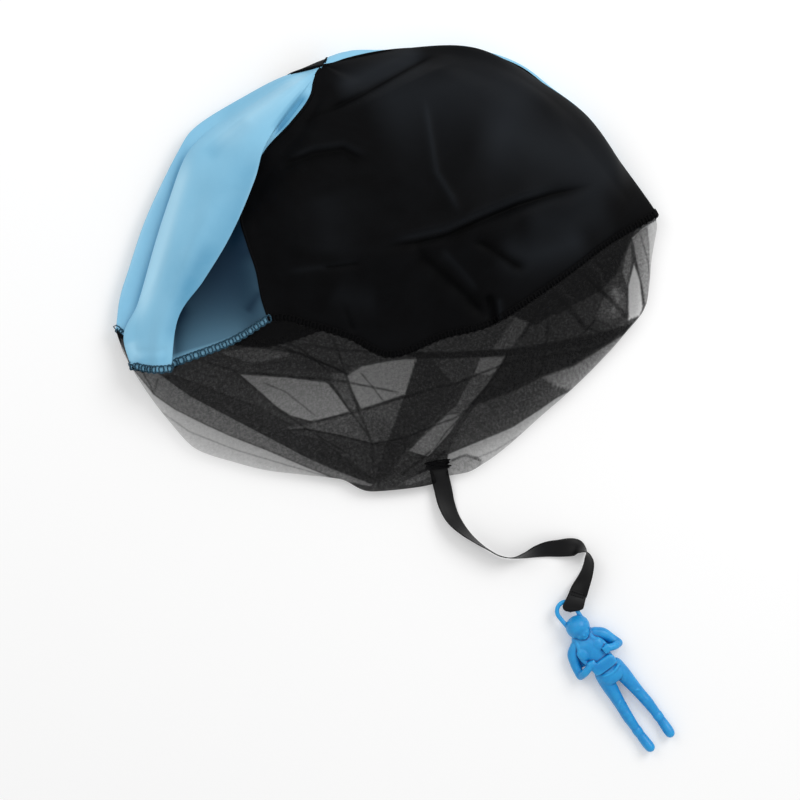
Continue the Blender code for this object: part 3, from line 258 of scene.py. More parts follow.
def tube_grid(points, radius, sides, across, closed=False, capped=True):
    """Rings of points round a line. Across is a way that stays beside the line, and a capped end rounds off to
    its middle in three smaller rings."""
    points = np.asarray(points, float)
    radius = np.broadcast_to(np.asarray(radius, float), len(points))
    along = ways(points, closed)
    rise = unit(np.cross(np.broadcast_to(across, along.shape), along))
    side = np.cross(along, rise)
    if capped and not closed:
        turn = np.radians([80.0, 55.0, 28.0])
        first = points[0] - along[0] * (radius[0] * np.sin(turn))[:, None]
        last = points[-1] + along[-1] * (radius[-1] * np.sin(turn))[::-1, None]
        points = np.concatenate([points[:1] - along[:1] * radius[0], first, points, last,
                                 points[-1:] + along[-1:] * radius[-1]])
        radius = np.concatenate([[1e-6], radius[0] * np.cos(turn), radius, radius[-1] * np.cos(turn)[::-1], [1e-6]])
        ends = np.clip(np.arange(len(points)) - 4, 0, len(along) - 1)
        side, rise = side[ends], rise[ends]
    turn = np.linspace(0.0, math.tau, sides, endpoint=False)
    return ringed(points, side * radius[:, None], rise * radius[:, None], turn)


def tube(points, radius, sides, across, closed=False, capped=True):
    """A round tube along a line, with its length along the uv's second number in metres."""
    grid = tube_grid(points, radius, sides, across, closed, capped)
    middle = grid.mean(axis=1)
    if closed:
        middle = np.concatenate([middle, middle[:1]])
    u, v = np.meshgrid(np.linspace(0.0, 1.0, sides + 1), lengths_along(middle))
    return patch(grid, np.stack([u, v], axis=-1), closed, True)


# ---- finishes ----

def colour(code):
    """A colour written as sRGB hex, in linear light."""
    parts = np.array([int(code[k:k + 2], 16) for k in (1, 3, 5)]) / 255
    linear = np.where(parts <= 0.04045, parts / 12.92, ((parts + 0.055) / 1.055) ** 2.4)
    return (*linear.tolist(), 1.0)


def add_node(tree, kind, settings=None, inputs=None):
    made = tree.nodes.new(kind)
    for name, value in (settings or {}).items():
        setattr(made, name, value)
    for name, value in (inputs or {}).items():
        if isinstance(value, bpy.types.NodeSocket):
            tree.links.new(value, made.inputs[name])
        else:
            made.inputs[name].default_value = value
    return made


def finish_named(name):
    made = bpy.data.materials.new(name)
    made.use_nodes = True
    tree = made.node_tree
    tree.nodes.clear()
    return made, tree


def nylon_taffeta(name, base, deep, shaded, glow, roughness, specular, sheen):
    """Nylon taffeta, plain woven from fine flat yarn and calendered: smooth and thin, with a soft sheen. Its colour
    carries painted light from attributes: gleam mixes in a painted highlight on its folds, deep a painted shade in its
    creases, and shade a painted shade where it lies in a fold over a dark layer; the slub mottle is its own. The yarns
    are 0.1 mm apart, too fine to show, so the weave is drawn at 0.7 mm."""
    made, tree = finish_named(name)
    place = add_node(tree, "ShaderNodeTexCoord")
    pitch = 0.0007
    warp = add_node(tree, "ShaderNodeTexWave", {"wave_type": "BANDS", "bands_direction": "X"},
                    {"Vector": place.outputs["UV"], "Scale": math.tau / 20 / pitch, "Distortion": 0.6})
    weft = add_node(tree, "ShaderNodeTexWave", {"wave_type": "BANDS", "bands_direction": "Y"},
                    {"Vector": place.outputs["UV"], "Scale": math.tau / 20 / pitch, "Distortion": 0.6})
    weave = add_node(tree, "ShaderNodeMath", {"operation": "ADD"},
                     {0: warp.outputs["Fac"], 1: weft.outputs["Fac"]})
    slubs = add_node(tree, "ShaderNodeTexNoise", None,
                     {"Vector": place.outputs["UV"], "Scale": 60.0, "Detail": 4.0, "Roughness": 0.55})
    creep = add_node(tree, "ShaderNodeTexNoise", None,
                     {"Vector": place.outputs["Object"], "Scale": 260.0, "Detail": 3.0, "Roughness": 0.5})
    height = add_node(tree, "ShaderNodeMath", {"operation": "MULTIPLY_ADD"},
                      {0: weave.outputs[0], 1: 0.12, 2: creep.outputs["Fac"]})
    bump = add_node(tree, "ShaderNodeBump", None,
                    {"Strength": 0.10, "Distance": 0.0004, "Height": height.outputs[0]})
    # Painted light: gleam mixes in a painted highlight, deep a painted shade in creases, shade a painted shade over a
    # dark layer.
    shade = add_node(tree, "ShaderNodeAttribute", {"attribute_name": "shade"})
    gleam = add_node(tree, "ShaderNodeAttribute", {"attribute_name": "gleam"})
    mottle = add_node(tree, "ShaderNodeMapRange", None,
                      {"Value": slubs.outputs["Fac"], "From Min": 0.3, "From Max": 0.7, "To Min": 0.0, "To Max": 0.10})
    fold_shade = add_node(tree, "ShaderNodeAttribute", {"attribute_name": "deep"})
    body = add_node(tree, "ShaderNodeMix", {"data_type": "RGBA"},
                    {"Factor": gleam.outputs["Fac"], 6: colour(base), 7: colour(glow)})
    lit = add_node(tree, "ShaderNodeMix", {"data_type": "RGBA"},
                   {"Factor": fold_shade.outputs["Fac"], 6: body.outputs[2], 7: colour(deep)})
    varied = add_node(tree, "ShaderNodeMix", {"data_type": "RGBA"},
                      {"Factor": mottle.outputs[0], 6: lit.outputs[2], 7: colour(glow)})
    dark = add_node(tree, "ShaderNodeMix", {"data_type": "RGBA"},
                    {"Factor": shade.outputs["Fac"], 6: varied.outputs[2], 7: colour(shaded)})
    shader = add_node(tree, "ShaderNodeBsdfPrincipled", None, {
        "Base Color": dark.outputs[2], "Roughness": roughness, "Specular IOR Level": specular,
        "Sheen Weight": sheen, "Sheen Roughness": 0.35, "Normal": bump.outputs["Normal"],
    })
    add_node(tree, "ShaderNodeOutputMaterial", None, {"Surface": shader.outputs["BSDF"]})
    return made


def tulle(name, thread):
    """Nylon tulle, a fine hexagonal net of single yarns, knitted and heat set. One layer lets through four fifths of
    the light, and where it is folded over itself each further layer takes a fifth of the rest. Its holes are 0.5 mm
    apart, so they are drawn at 1.1 mm to show as a grain."""
    made, tree = finish_named(name)
    place = add_node(tree, "ShaderNodeTexCoord")
    pitch = 0.0011
    cells = add_node(tree, "ShaderNodeTexVoronoi", {"feature": "DISTANCE_TO_EDGE", "voronoi_dimensions": "2D"},
                     {"Vector": place.outputs["UV"], "Scale": 1.0 / pitch, "Randomness": 0.9})
    yarn = add_node(tree, "ShaderNodeMapRange", {"interpolation_type": "SMOOTHSTEP"},
                    {"Value": cells.outputs["Distance"], "From Min": 0.03, "From Max": 0.28,
                     "To Min": 1.14, "To Max": 0.88})
    uneven = add_node(tree, "ShaderNodeTexNoise", None,
                      {"Vector": place.outputs["Object"], "Scale": 640.0, "Detail": 2.0, "Roughness": 0.6})
    grain = add_node(tree, "ShaderNodeMapRange", None,
                     {"Value": uneven.outputs["Fac"], "From Min": 0.3, "From Max": 0.7, "To Min": 0.76, "To Max": 1.24})
    both = add_node(tree, "ShaderNodeMath", {"operation": "MULTIPLY"}, {0: yarn.outputs[0], 1: grain.outputs[0]})
    layers = add_node(tree, "ShaderNodeAttribute", {"attribute_name": "layers"})
    dense = add_node(tree, "ShaderNodeMath", {"operation": "MULTIPLY"}, {0: layers.outputs["Fac"], 1: both.outputs[0]})
    passed = add_node(tree, "ShaderNodeMath", {"operation": "POWER"}, {0: 0.82, 1: dense.outputs[0]})
    alpha = add_node(tree, "ShaderNodeMath", {"operation": "SUBTRACT", "use_clamp": True},
                     {0: 1.0, 1: passed.outputs[0]})
    shader = add_node(tree, "ShaderNodeBsdfPrincipled", None, {
        "Base Color": colour(thread), "Roughness": 0.7, "Specular IOR Level": 0.08, "Alpha": alpha.outputs[0],
    })
    add_node(tree, "ShaderNodeOutputMaterial", None, {"Surface": shader.outputs["BSDF"]})
    return made


def polyester_satin(name, base, glow):
    """Polyester satin, woven with long floats of shiny yarn along the ribbon: a soft streaky gloss across it and a
    ribbed selvedge. The yarns are 0.1 mm apart, drawn at 0.5 mm."""
    made, tree = finish_named(name)
    place = add_node(tree, "ShaderNodeTexCoord")
    floats = add_node(tree, "ShaderNodeTexWave", {"wave_type": "BANDS", "bands_direction": "X"},
                      {"Vector": place.outputs["UV"], "Scale": math.tau / 20 / 0.0005, "Distortion": 0.8,
                       "Detail": 1.0})
    streak = add_node(tree, "ShaderNodeMapping", None, {"Vector": place.outputs["UV"], "Scale": (900.0, 60.0, 1.0)})
    noise = add_node(tree, "ShaderNodeTexNoise", None,
                     {"Vector": streak.outputs["Vector"], "Scale": 1.0, "Detail": 3.0, "Roughness": 0.6})
    tone = add_node(tree, "ShaderNodeMix", {"data_type": "RGBA"},
                    {"Factor": noise.outputs["Fac"], 6: colour(base), 7: colour(glow)})
    bump = add_node(tree, "ShaderNodeBump", None,
                    {"Strength": 0.12, "Distance": 0.0003, "Height": floats.outputs["Fac"]})
    gloss = add_node(tree, "ShaderNodeMapRange", None,
                     {"Value": noise.outputs["Fac"], "From Min": 0.3, "From Max": 0.7, "To Min": 0.38, "To Max": 0.52})
    shader = add_node(tree, "ShaderNodeBsdfPrincipled", None, {
        "Base Color": tone.outputs[2], "Roughness": gloss.outputs[0], "Specular IOR Level": 0.22,
        "Sheen Weight": 0.02, "Sheen Roughness": 0.4, "Normal": bump.outputs["Normal"],
    })
    add_node(tree, "ShaderNodeOutputMaterial", None, {"Surface": shader.outputs["BSDF"]})
    return made


def sewing_thread(name, base, glow, roughness, sheen):
    """Spun polyester thread, two plies twisted together: matt, with slanting light and dark plies. The twist of
    0.5 mm is drawn at 1.2 mm."""
    made, tree = finish_named(name)
    place = add_node(tree, "ShaderNodeTexCoord")
    slant = add_node(tree, "ShaderNodeMapping", None, {"Vector": place.outputs["UV"], "Scale": (2.0, 830.0, 1.0)})
    plies = add_node(tree, "ShaderNodeTexWave", {"wave_type": "BANDS", "bands_direction": "DIAGONAL"},
                     {"Vector": slant.outputs["Vector"], "Scale": 0.62, "Distortion": 0.4})
    tone = add_node(tree, "ShaderNodeMix", {"data_type": "RGBA"},
                    {"Factor": plies.outputs["Fac"], 6: colour(base), 7: colour(glow)})
    bump = add_node(tree, "ShaderNodeBump", None,
                    {"Strength": 0.4, "Distance": 0.0002, "Height": plies.outputs["Fac"]})
    shader = add_node(tree, "ShaderNodeBsdfPrincipled", None, {
        "Base Color": tone.outputs[2], "Roughness": roughness, "Specular IOR Level": 0.12,
        "Sheen Weight": sheen, "Sheen Roughness": 0.5, "Normal": bump.outputs["Normal"],
    })
    add_node(tree, "ShaderNodeOutputMaterial", None, {"Surface": shader.outputs["BSDF"]})
    return made


def moulded_polythene(name, base, deep, light):
    """Blue polythene, injection moulded in one piece: smooth and slightly waxy, so light spreads a little under its
    skin, with a broad soft gloss and faint flow marks. Its colour also carries painted shade in the skin's sunken parts
    and a painted highlight on its bulging parts, read from two attributes."""
    made, tree = finish_named(name)
    place = add_node(tree, "ShaderNodeTexCoord")
    flow = add_node(tree, "ShaderNodeTexNoise", None,
                    {"Vector": place.outputs["Object"], "Scale": 110.0, "Detail": 4.0, "Roughness": 0.55,
                     "Distortion": 0.6})
    skin = add_node(tree, "ShaderNodeTexNoise", None,
                    {"Vector": place.outputs["Object"], "Scale": 1400.0, "Detail": 3.0, "Roughness": 0.6})
    # Painted shade in the skin's sunken parts, from an attribute.
    hollow_shade = add_node(tree, "ShaderNodeAttribute", {"attribute_name": "hollow_shade"})
    blend = add_node(tree, "ShaderNodeMapRange", None,
                     {"Value": flow.outputs["Fac"], "From Min": 0.35, "From Max": 0.70, "To Min": 0.0, "To Max": 0.55})
    tone = add_node(tree, "ShaderNodeMix", {"data_type": "RGBA"},
                    {"Factor": blend.outputs[0], 6: colour(base), 7: colour(light)})
    # Painted highlight on the skin's bulging parts, from an attribute.
    raised_highlight = add_node(tree, "ShaderNodeAttribute", {"attribute_name": "raised_highlight"})
    highlight_tone = add_node(tree, "ShaderNodeMix", {"data_type": "RGBA"},
                    {"Factor": raised_highlight.outputs["Fac"], 6: tone.outputs[2], 7: colour(light)})
    shaded = add_node(tree, "ShaderNodeMix", {"data_type": "RGBA"},
                      {"Factor": hollow_shade.outputs["Fac"], 6: highlight_tone.outputs[2], 7: colour(deep)})
    rough = add_node(tree, "ShaderNodeMapRange", None,
                     {"Value": skin.outputs["Fac"], "From Min": 0.3, "From Max": 0.7, "To Min": 0.34, "To Max": 0.48})
    bump = add_node(tree, "ShaderNodeBump", None,
                    {"Strength": 0.06, "Distance": 0.0003, "Height": skin.outputs["Fac"]})
    shader = add_node(tree, "ShaderNodeBsdfPrincipled", None, {
        "Base Color": shaded.outputs[2], "Roughness": rough.outputs[0], "IOR": 1.51,
        "Subsurface Weight": 0.12, "Subsurface Radius": (0.2, 0.5, 1.0), "Subsurface Scale": 0.002,
        "Normal": bump.outputs["Normal"],
    })
    add_node(tree, "ShaderNodeOutputMaterial", None, {"Surface": shader.outputs["BSDF"]})
    return made


# Colours in order: base, deep (a painted shade for creases), shaded (a painted shade for folds over a dark layer), glow
# (a painted highlight, which also tints the random mottle).
blue_nylon = nylon_taffeta("light_blue_nylon_taffeta", "#88C4E3", "#4E94BA", "#08283E", "#B4E3FA", 0.55, 0.20, 0.08)
black_nylon = nylon_taffeta("black_nylon_taffeta", "#050506", "#010101", "#010101", "#1D2024", 0.62, 0.05, 0.0)
net_tulle = tulle("black_nylon_tulle", "#09090A")
ribbon_satin = polyester_satin("black_polyester_satin", "#030304", "#0A0A0C")
dark_thread = sewing_thread("dark_polyester_thread", "#122A38", "#2B566C", 0.6, 0.15)
black_thread = sewing_thread("black_polyester_thread", "#020203", "#060607", 0.85, 0.0)
# Colours in order: base, deep (a painted shade in sunken parts), light (a painted highlight on bulging parts, and the
# tone of the flow marks).
blue_polythene = moulded_polythene("blue_polythene", "#0288CE", "#045096", "#2AAEEC")


# ---- ribbon ----

# Picture x, picture y, height in metres, roll in degrees, 0 lying flat and 90 on its edge.
RIBBON_ROUTE = (
    (437.6, 462.5, 0.0045, 0), (439.5, 474, 0.0043, 0), (443, 489, 0.0036, 8),
    (446.5, 504, 0.0036, 22), (453, 518.5, 0.0042, 40), (463.5, 531, 0.0051, 62),
    (476, 541.5, 0.0056, 80), (488, 549.5, 0.0058, 90), (500, 556, 0.0058, 92),
    (512, 558, 0.0058, 96), (524, 555.5, 0.0053, 112), (536, 551.5, 0.0044, 134),
    (548, 549, 0.0036, 152), (560, 548.2, 0.0034, 166), (571, 547.2, 0.0042, 190),
    (580.5, 547.8, 0.0056, 232), (587, 552, 0.0060, 268), (589, 561, 0.0059, 296),
    (587.2, 571.5, 0.0058, 306), (583.6, 581, 0.0060, 318), (580, 589, 0.0061, 336),
    (577.9, 594.6, 0.0063, 350),
)
NECK_TURN = math.radians(-81.0)  # way out of the neck, from +X
NECK_WAY = np.array([math.cos(NECK_TURN), math.sin(NECK_TURN), 0.0])
NECK_SIDE = np.array([-NECK_WAY[1], NECK_WAY[0], 0.0])
neck_middle = to_world([437.0, 459.0, 0.00405])
ring_middle = to_world([566.3, 611.0, 0.0063])

route = np.array(RIBBON_ROUTE)
stations = to_world(route[:, :3])
stations[0] = neck_middle + NECK_WAY * 0.003
ribbon_keys = chord_keys(stations)
ribbon_at = np.linspace(0.0, 1.0, 241)
ribbon_line = free(ribbon_keys, stations, ribbon_at)
ribbon_roll = np.radians(gentle(ribbon_keys, route[:, 3:], ribbon_at)[:, 0])


def band(middle, side, face, half):
    """A woven band carried along a line: its profile is a flat bar with thicker rounded selvedges, laid along side
    and face at each place, and its two open ends are each closed with a face strip across the middle."""
    spot = np.linspace(-1.0, 1.0, 15)
    wall = RIBBON_THICKNESS / 2 * (1 + 0.7 * np.exp(-(((np.abs(spot) - 0.94) / 0.06) ** 2)))
    wall[[0, -1]] = RIBBON_THICKNESS * 0.12
    x = np.concatenate([spot, spot[::-1]])
    z = np.concatenate([wall, -wall[::-1]])
    grid = middle[:, None] + side[:, None] * (half[:, None] * x)[..., None] + face[:, None] * z[None, :, None]
    u, v = np.meshgrid(np.concatenate([x, x[:1]]) * RIBBON_WIDTH / 2, lengths_along(middle))
    shape = patch(grid, np.stack([u, v], axis=-1), False, True)
    columns = len(x)
    k = np.arange(columns // 2 - 1)
    first = np.stack([k, k + 1, columns - 2 - k, columns - 1 - k], axis=-1)
    last = len(shape["points"]) - columns + first[:, ::-1]
    return {**shape, "faces": np.concatenate([shape["faces"], first, last]),
            "uv": np.concatenate([shape["uv"], np.zeros(((len(first) + len(last)) * 4, 2))])}


ribbon_along = ways(ribbon_line)
ribbon_level = unit(np.cross(ribbon_along, np.broadcast_to(Z_UP, ribbon_along.shape)))
ribbon_side = (np.cos(ribbon_roll)[:, None] * ribbon_level
               + np.sin(ribbon_roll)[:, None] * np.cross(ribbon_level, ribbon_along))
ribbon_shape = band(ribbon_line, ribbon_side, np.cross(ribbon_side, ribbon_along),
                    np.full(len(ribbon_line), RIBBON_WIDTH / 2))
ribbon = build("satin_ribbon", ribbon_shape, ribbon_satin, outwards=True)
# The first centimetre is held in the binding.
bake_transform(ribbon)
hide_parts("ribbon")


# ---- canopy ----

# Lines from the crown to the hem: picture x, picture y, and height as a share of CANOPY_HEIGHT.
SEAM_FRONT = (
    (323, 65.5, 0.43), (316.8, 74, 0.47), (311.6, 95.2, 0.53), (291.6, 123, 0.56), (266, 150, 0.53),
    (249, 185, 0.45), (241, 216, 0.43), (248, 243, 0.43), (257, 270, 0.43), (263, 300, 0.42),
    (270, 321, 0.42),
)
SEAM_LEFT = (
    (323, 65.5, 0.43), (305, 69.5, 0.33), (285, 78, 0.21), (262, 105, 0.07), (240, 145, 0.01),
    (205, 205, 0), (165, 270, 0), (136, 315, 0.02), (121, 338, 0.06),
)
SEAM_RIGHT = (
    (323, 65.5, 0.43), (331, 64.5, 0.41), (345, 60, 0.37), (365, 55, 0.33), (385, 51.5, 0.29),
    (440, 49.5, 0.21), (488, 55.5, 0.20), (520, 68, 0.18), (548, 89, 0.15), (583, 116, 0.11),
    (612, 158, 0.07), (642, 200, 0.05), (654, 214.5, 0.05),
)
SEAM_BACK = (
    (323, 65.5, 0.43), (326, 60, 0.36), (327, 58.5, 0.26), (324.5, 64, 0.12), (320, 82, 0.02),
    (318, 120, 0), (316, 200, 0), (322, 290, 0), (330, 327, 0.01),
)
LEFT_BLUE = (
    SEAM_LEFT,
    ((322.6, 65.8, 0.43), (311, 69.5, 0.36), (284, 76.5, 0.24), (244, 97, 0.16), (198.5, 126.6, 0.14),
     (179.5, 154.5, 0.14), (158.5, 193, 0.14), (143.5, 226, 0.14), (130, 266, 0.14), (119.5, 301, 0.14),
     (116, 331, 0.14)),
    # The outer strip's inner side, the tuck under the flap, and the flap's folded edge.
    ((322.6, 65.8, 0.43), (312, 70.5, 0.39), (286, 79, 0.31), (250, 100, 0.24), (206.5, 128, 0.17),
     (184, 154.5, 0.15), (171, 195, 0.14), (161.5, 228, 0.13), (148.5, 267, 0.13), (134.5, 303, 0.13),
     (122.5, 335, 0.13)),
    ((322.5, 66, 0.43), (312.3, 71, 0.40), (287, 80.5, 0.33), (252, 101.5, 0.27), (210, 129.5, 0.19),
     (189, 156, 0.17), (178, 197, 0.16), (168.5, 230, 0.16), (156, 270, 0.155), (142.5, 306, 0.15),
     (138, 351, 0.15)),
    ((322.4, 66.2, 0.43), (312.6, 71.5, 0.415), (288, 82, 0.36), (254, 103, 0.30), (212, 130.5, 0.23),
     (185.5, 157, 0.215), (169.5, 200, 0.21), (156, 242, 0.20), (139, 301, 0.20), (124.8, 335, 0.19),
     (132, 366, 0.20)),
    ((322.5, 66.3, 0.43), (313, 72, 0.44), (290, 84, 0.42), (258, 105, 0.40), (220, 132.5, 0.35),
     (192, 160, 0.34), (177.5, 199, 0.33), (167, 234, 0.31), (153.5, 281, 0.28), (136, 328, 0.26),
     (138, 369.5, 0.24)),
    ((322.6, 66.4, 0.43), (314, 72.6, 0.46), (292.5, 86, 0.48), (264, 107.5, 0.49), (233, 136, 0.47),
     (205, 169, 0.45), (190, 204, 0.42), (178, 236, 0.40), (164, 277, 0.36), (149, 324, 0.33),
     (147, 371.6, 0.29)),
    ((322.7, 66.6, 0.43), (315.6, 73.4, 0.47), (298, 90, 0.53), (275.5, 113.5, 0.58), (249, 143, 0.61),
     (232, 180, 0.60), (218, 214, 0.57), (203, 246, 0.53), (184, 285, 0.48), (163, 330, 0.42),
     (159.5, 372.3, 0.37)),
    ((322.8, 66.7, 0.43), (316.3, 73.8, 0.48), (301.6, 92, 0.55), (281.8, 117, 0.60), (263.5, 147.5, 0.65),
     (254.5, 179, 0.62), (239, 217, 0.57), (224, 247, 0.53), (203, 281, 0.49), (176.5, 322, 0.43),
     (170, 371, 0.36)),
    ((322.9, 66.8, 0.43), (316.9, 74, 0.48), (304.6, 93.6, 0.54), (284, 120, 0.575), (259.5, 150.5, 0.575),
     (243, 184, 0.53), (229, 220, 0.44), (212, 250, 0.36), (190, 284, 0.30), (175, 324, 0.26),
     (176, 365.5, 0.25)),
    ((323, 66.8, 0.43), (317.4, 74.1, 0.475), (307.2, 94.8, 0.535), (288, 121.8, 0.575), (261.5, 151.5, 0.545),
     (240.5, 187.5, 0.47), (230, 219, 0.40), (227, 248, 0.37), (224, 280, 0.31), (221, 318, 0.27),
     (223, 348, 0.28)),
    SEAM_FRONT,
)
FRONT_BLACK = (
    SEAM_FRONT,
    ((323.1, 65.6, 0.43), (321, 75, 0.48), (317, 98, 0.54), (300, 127, 0.56), (277, 154, 0.53),
     (260, 187, 0.47), (252, 217, 0.46), (259, 243, 0.47), (268, 270, 0.47), (275, 300, 0.46),
     (284, 320, 0.46)),
    ((323.2, 65.4, 0.43), (331, 84, 0.55), (322, 120, 0.64), (304, 160, 0.66), (287, 210, 0.62),
     (290, 262, 0.58), (297, 300, 0.54), (305, 325.5, 0.51)),
    ((323.4, 65.3, 0.43), (345, 85, 0.60), (356, 130, 0.74), (349, 190, 0.82), (340, 250, 0.80),
     (343, 300, 0.70), (347, 338, 0.60)),
    ((323.6, 65.2, 0.43), (366, 84, 0.58), (400, 126, 0.78), (402, 190, 0.90), (388, 250, 0.89),
     (386, 305, 0.74), (390, 357, 0.60)),
    ((323.8, 65.1, 0.43), (382, 76, 0.55), (434, 106, 0.75), (457, 160, 0.93), (452, 215, 0.98),
     (437, 262, 0.84), (436, 300, 0.68), (444, 338, 0.56)),
    ((324, 65, 0.43), (396, 67, 0.49), (466, 88, 0.66), (508, 130, 0.82), (518, 178, 0.92),
     (506, 226, 0.90), (492, 270, 0.76), (494, 324, 0.60)),
    ((324.2, 64.9, 0.43), (404, 60, 0.42), (484, 75, 0.52), (542, 110, 0.62), (568, 155, 0.70),
     (572, 205, 0.72), (560, 250, 0.62), (556, 284, 0.50)),
    ((324.4, 64.8, 0.43), (408, 54, 0.36), (488, 63, 0.38), (545, 93, 0.42), (588, 132, 0.44),
     (614, 175, 0.45), (616, 214, 0.41), (607, 246, 0.34)),
    ((324.6, 64.7, 0.43), (405, 48.5, 0.28), (475, 48, 0.26), (541, 82, 0.23), (587, 116, 0.20),
     (621, 163, 0.17), (649, 203, 0.15), (657, 216, 0.14)),
    SEAM_RIGHT,
)
BACK_BLUE = (
    SEAM_RIGHT,
    ((323.5, 65.2, 0.43), (334, 58.5, 0.37), (346, 53, 0.31), (384, 50, 0.25), (440, 51.5, 0.15),
     (489, 53, 0.14), (522, 66, 0.13), (551, 88, 0.11), (584, 115, 0.07), (608, 160, 0.03),
     (636, 201, 0.02), (645, 218, 0.03)),
    ((323.5, 65, 0.43), (333, 56.8, 0.34), (346, 51.8, 0.24), (384, 54, 0.13), (438, 62, 0.03),
     (484, 68, 0.02), (516, 82, 0.01), (544, 106, 0), (574, 138, 0), (594, 176, 0),
     (615, 226, 0)),
    ((323.4, 64.8, 0.43), (331, 56.5, 0.32), (341, 54.5, 0.19), (360, 61, 0.07), (398, 84, 0),
     (440, 122, 0), (476, 176, 0), (508, 240, 0), (540, 278, 0)),
    ((323.3, 64.6, 0.43), (329, 57, 0.31), (333.5, 59, 0.17), (340, 66, 0.06), (352, 88, 0),
     (366, 130, 0), (382, 200, 0), (402, 280, 0), (420, 322, 0)),
    SEAM_BACK,
)
BACK_BLACK = (
    SEAM_BACK,
    ((322.8, 65.3, 0.43), (318, 63, 0.33), (314, 63.5, 0.24), (308, 70, 0.11), (300, 90, 0),
     (286, 130, 0), (268, 205, 0), (264, 290, 0), (266, 346, 0.02)),
    ((322.6, 65.5, 0.43), (310, 67, 0.33), (300, 69.5, 0.23), (290, 78, 0.10), (280, 98, 0),
     (262, 136, 0), (234, 206, 0), (206, 290, 0), (194, 340, 0.01)),
    ((322.8, 65.6, 0.43), (306, 68.8, 0.32), (288, 74.5, 0.20), (273, 92, 0.06), (254, 128, 0),
     (224, 190, 0), (186, 262, 0), (160, 318, 0), (148, 346, 0.02)),
    SEAM_LEFT,
)
HEM_LIFT_SHARE = 0.07


ROWS, COLUMNS = 221, 181


def quarter_seen(lines, across_shares):
    """One canopy quarter as the picture sees it, with its height: rows run from the crown to the hem and columns from
    seam to seam. Each crown-to-hem line is a curve through its points, and the columns are a curve through the
    lines at each row's level. Heights never overshoot."""
    down = np.linspace(0.0, 1.0, ROWS)
    across = np.linspace(0.0, 1.0, COLUMNS)
    seam_floor = SEAM_RADIUS + TABLE_CLEARANCE
    hem_floor = HEM_RADIUS + TABLE_CLEARANCE
    lift = np.clip((down - 1.0) / HEM_LIFT_SHARE + 1.0, 0.0, 1.0) ** 2
    held = []
    for place, table in enumerate(lines):
        edge = place in (0, len(lines) - 1)
        floor = seam_floor if edge else CLOTH
        level = not edge and lines[-1] is SEAM_FRONT and len(table) == len(lines[-1])
        keyed = np.array(lines[-1] if level else table, float)
        keys = chord_keys(keyed * np.array([PIXEL_SIZE, PIXEL_SIZE, CANOPY_HEIGHT]))
        points = np.array(table, float)
        height = gentle(keys, points[:, 2], down) * CANOPY_HEIGHT + floor + (hem_floor - floor) * lift
        held.append(np.column_stack([free(keys, points[:, :2], down), height]))
    held = np.array(held)
    seen = np.concatenate([
        free(across_shares, held[:, :, :2], across), gentle(across_shares, held[:, :, 2:], across)
    ], axis=-1)
    return seen.transpose(1, 0, 2)


def beside_lines(seen, lines, power, margin):
    """A sum over lines of the picture: at a distance d from a line, its strength times exp(-(d / width)^power), with
    a width for each side, faded in over the line's first and last fifth and kept to a span of columns."""
    across = np.broadcast_to(np.linspace(0.0, 1.0, COLUMNS), (ROWS, COLUMNS)).reshape(-1)
    plan = seen[..., :2].reshape(-1, 2)
    total = np.zeros(ROWS * COLUMNS)
    for points, strength, left, right, first, last in lines:
        distance, share = beside(plan, points)
        width = np.where(distance < 0, left, right)
        own = span(across, first - margin, first + margin, last - margin, last + margin)
        total += strength * np.exp(-((np.abs(distance) / width) ** power)) * span(share, 0.0, 0.2, 0.8, 1.0) * own
    return total.reshape(ROWS, COLUMNS)


def creased(seen, creases):
    """Raises or lowers the cloth beside lines of the picture, by the heights given in metres."""
    out = seen.copy()
    out[..., 2] += beside_lines(seen, creases, 1.4, 0.02)
    return out


def toned(seen, bands):
    """How strongly the cloth takes a painted tone, a painted shade or painted highlight, beside lines of the picture,
    from 0 to 1.
    """
    return np.clip(beside_lines(seen, bands, 1.6, 0.015), 0.0, 1.0)


def ripples(seen, seed, height, count):
    """Soft unevenness of the cloth: a sum of long waves in random ways over the picture, damped at the quarter's
    seams and hem."""
    chance = np.random.default_rng(seed)
    total = np.zeros((ROWS, COLUMNS))
    for _ in range(count):
        turn = chance.uniform(0, math.pi)
        length = chance.uniform(24, 90)
        way = seen[..., 0] * math.cos(turn) + seen[..., 1] * math.sin(turn)
        total += np.sin(way / length * math.tau + chance.uniform(0, math.tau)) * length / 90
    edge = np.sin(np.linspace(0, math.pi, COLUMNS)) ** 0.5
    end = span(np.linspace(0, 1, ROWS), 0.0, 0.25, 0.92, 1.0)
    out = seen.copy()
    out[..., 2] += total * height * edge[None] * end[:, None] / math.sqrt(count)
    return out


def cloth_quarter(name, seen, finish, node, slot, flat, area, rests_on, **tones):
    """A quarter of the canopy as thin cloth, its uv in metres along its rows and columns, carrying its painted shade
    and painted highlight tones as point attributes.
    """
    grid = to_world(seen)
    down = np.concatenate([[0.0], np.cumsum(np.linalg.norm(np.diff(grid, axis=0), axis=2).mean(axis=1))])
    steps = np.linalg.norm(np.diff(grid, axis=1), axis=2)
    across = np.concatenate([np.zeros((ROWS, 1)), np.cumsum(steps, axis=1)], axis=1)
    across -= across[:, COLUMNS // 2:COLUMNS // 2 + 1]
    uv = np.stack([across, np.broadcast_to(down[:, None], across.shape)], axis=-1)
    values = {tone: np.broadcast_to(tones.get(tone, 0.0), across.shape) for tone in ("shade", "gleam", "deep")}
    made = build(name, patch(grid, uv, values=values), finish)
    wall = made.modifiers.new("thickness", "SOLIDIFY")
    wall.thickness = CLOTH
    wall.offset = 0.0
    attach(made, "canopy")
    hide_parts(node)
    return grid


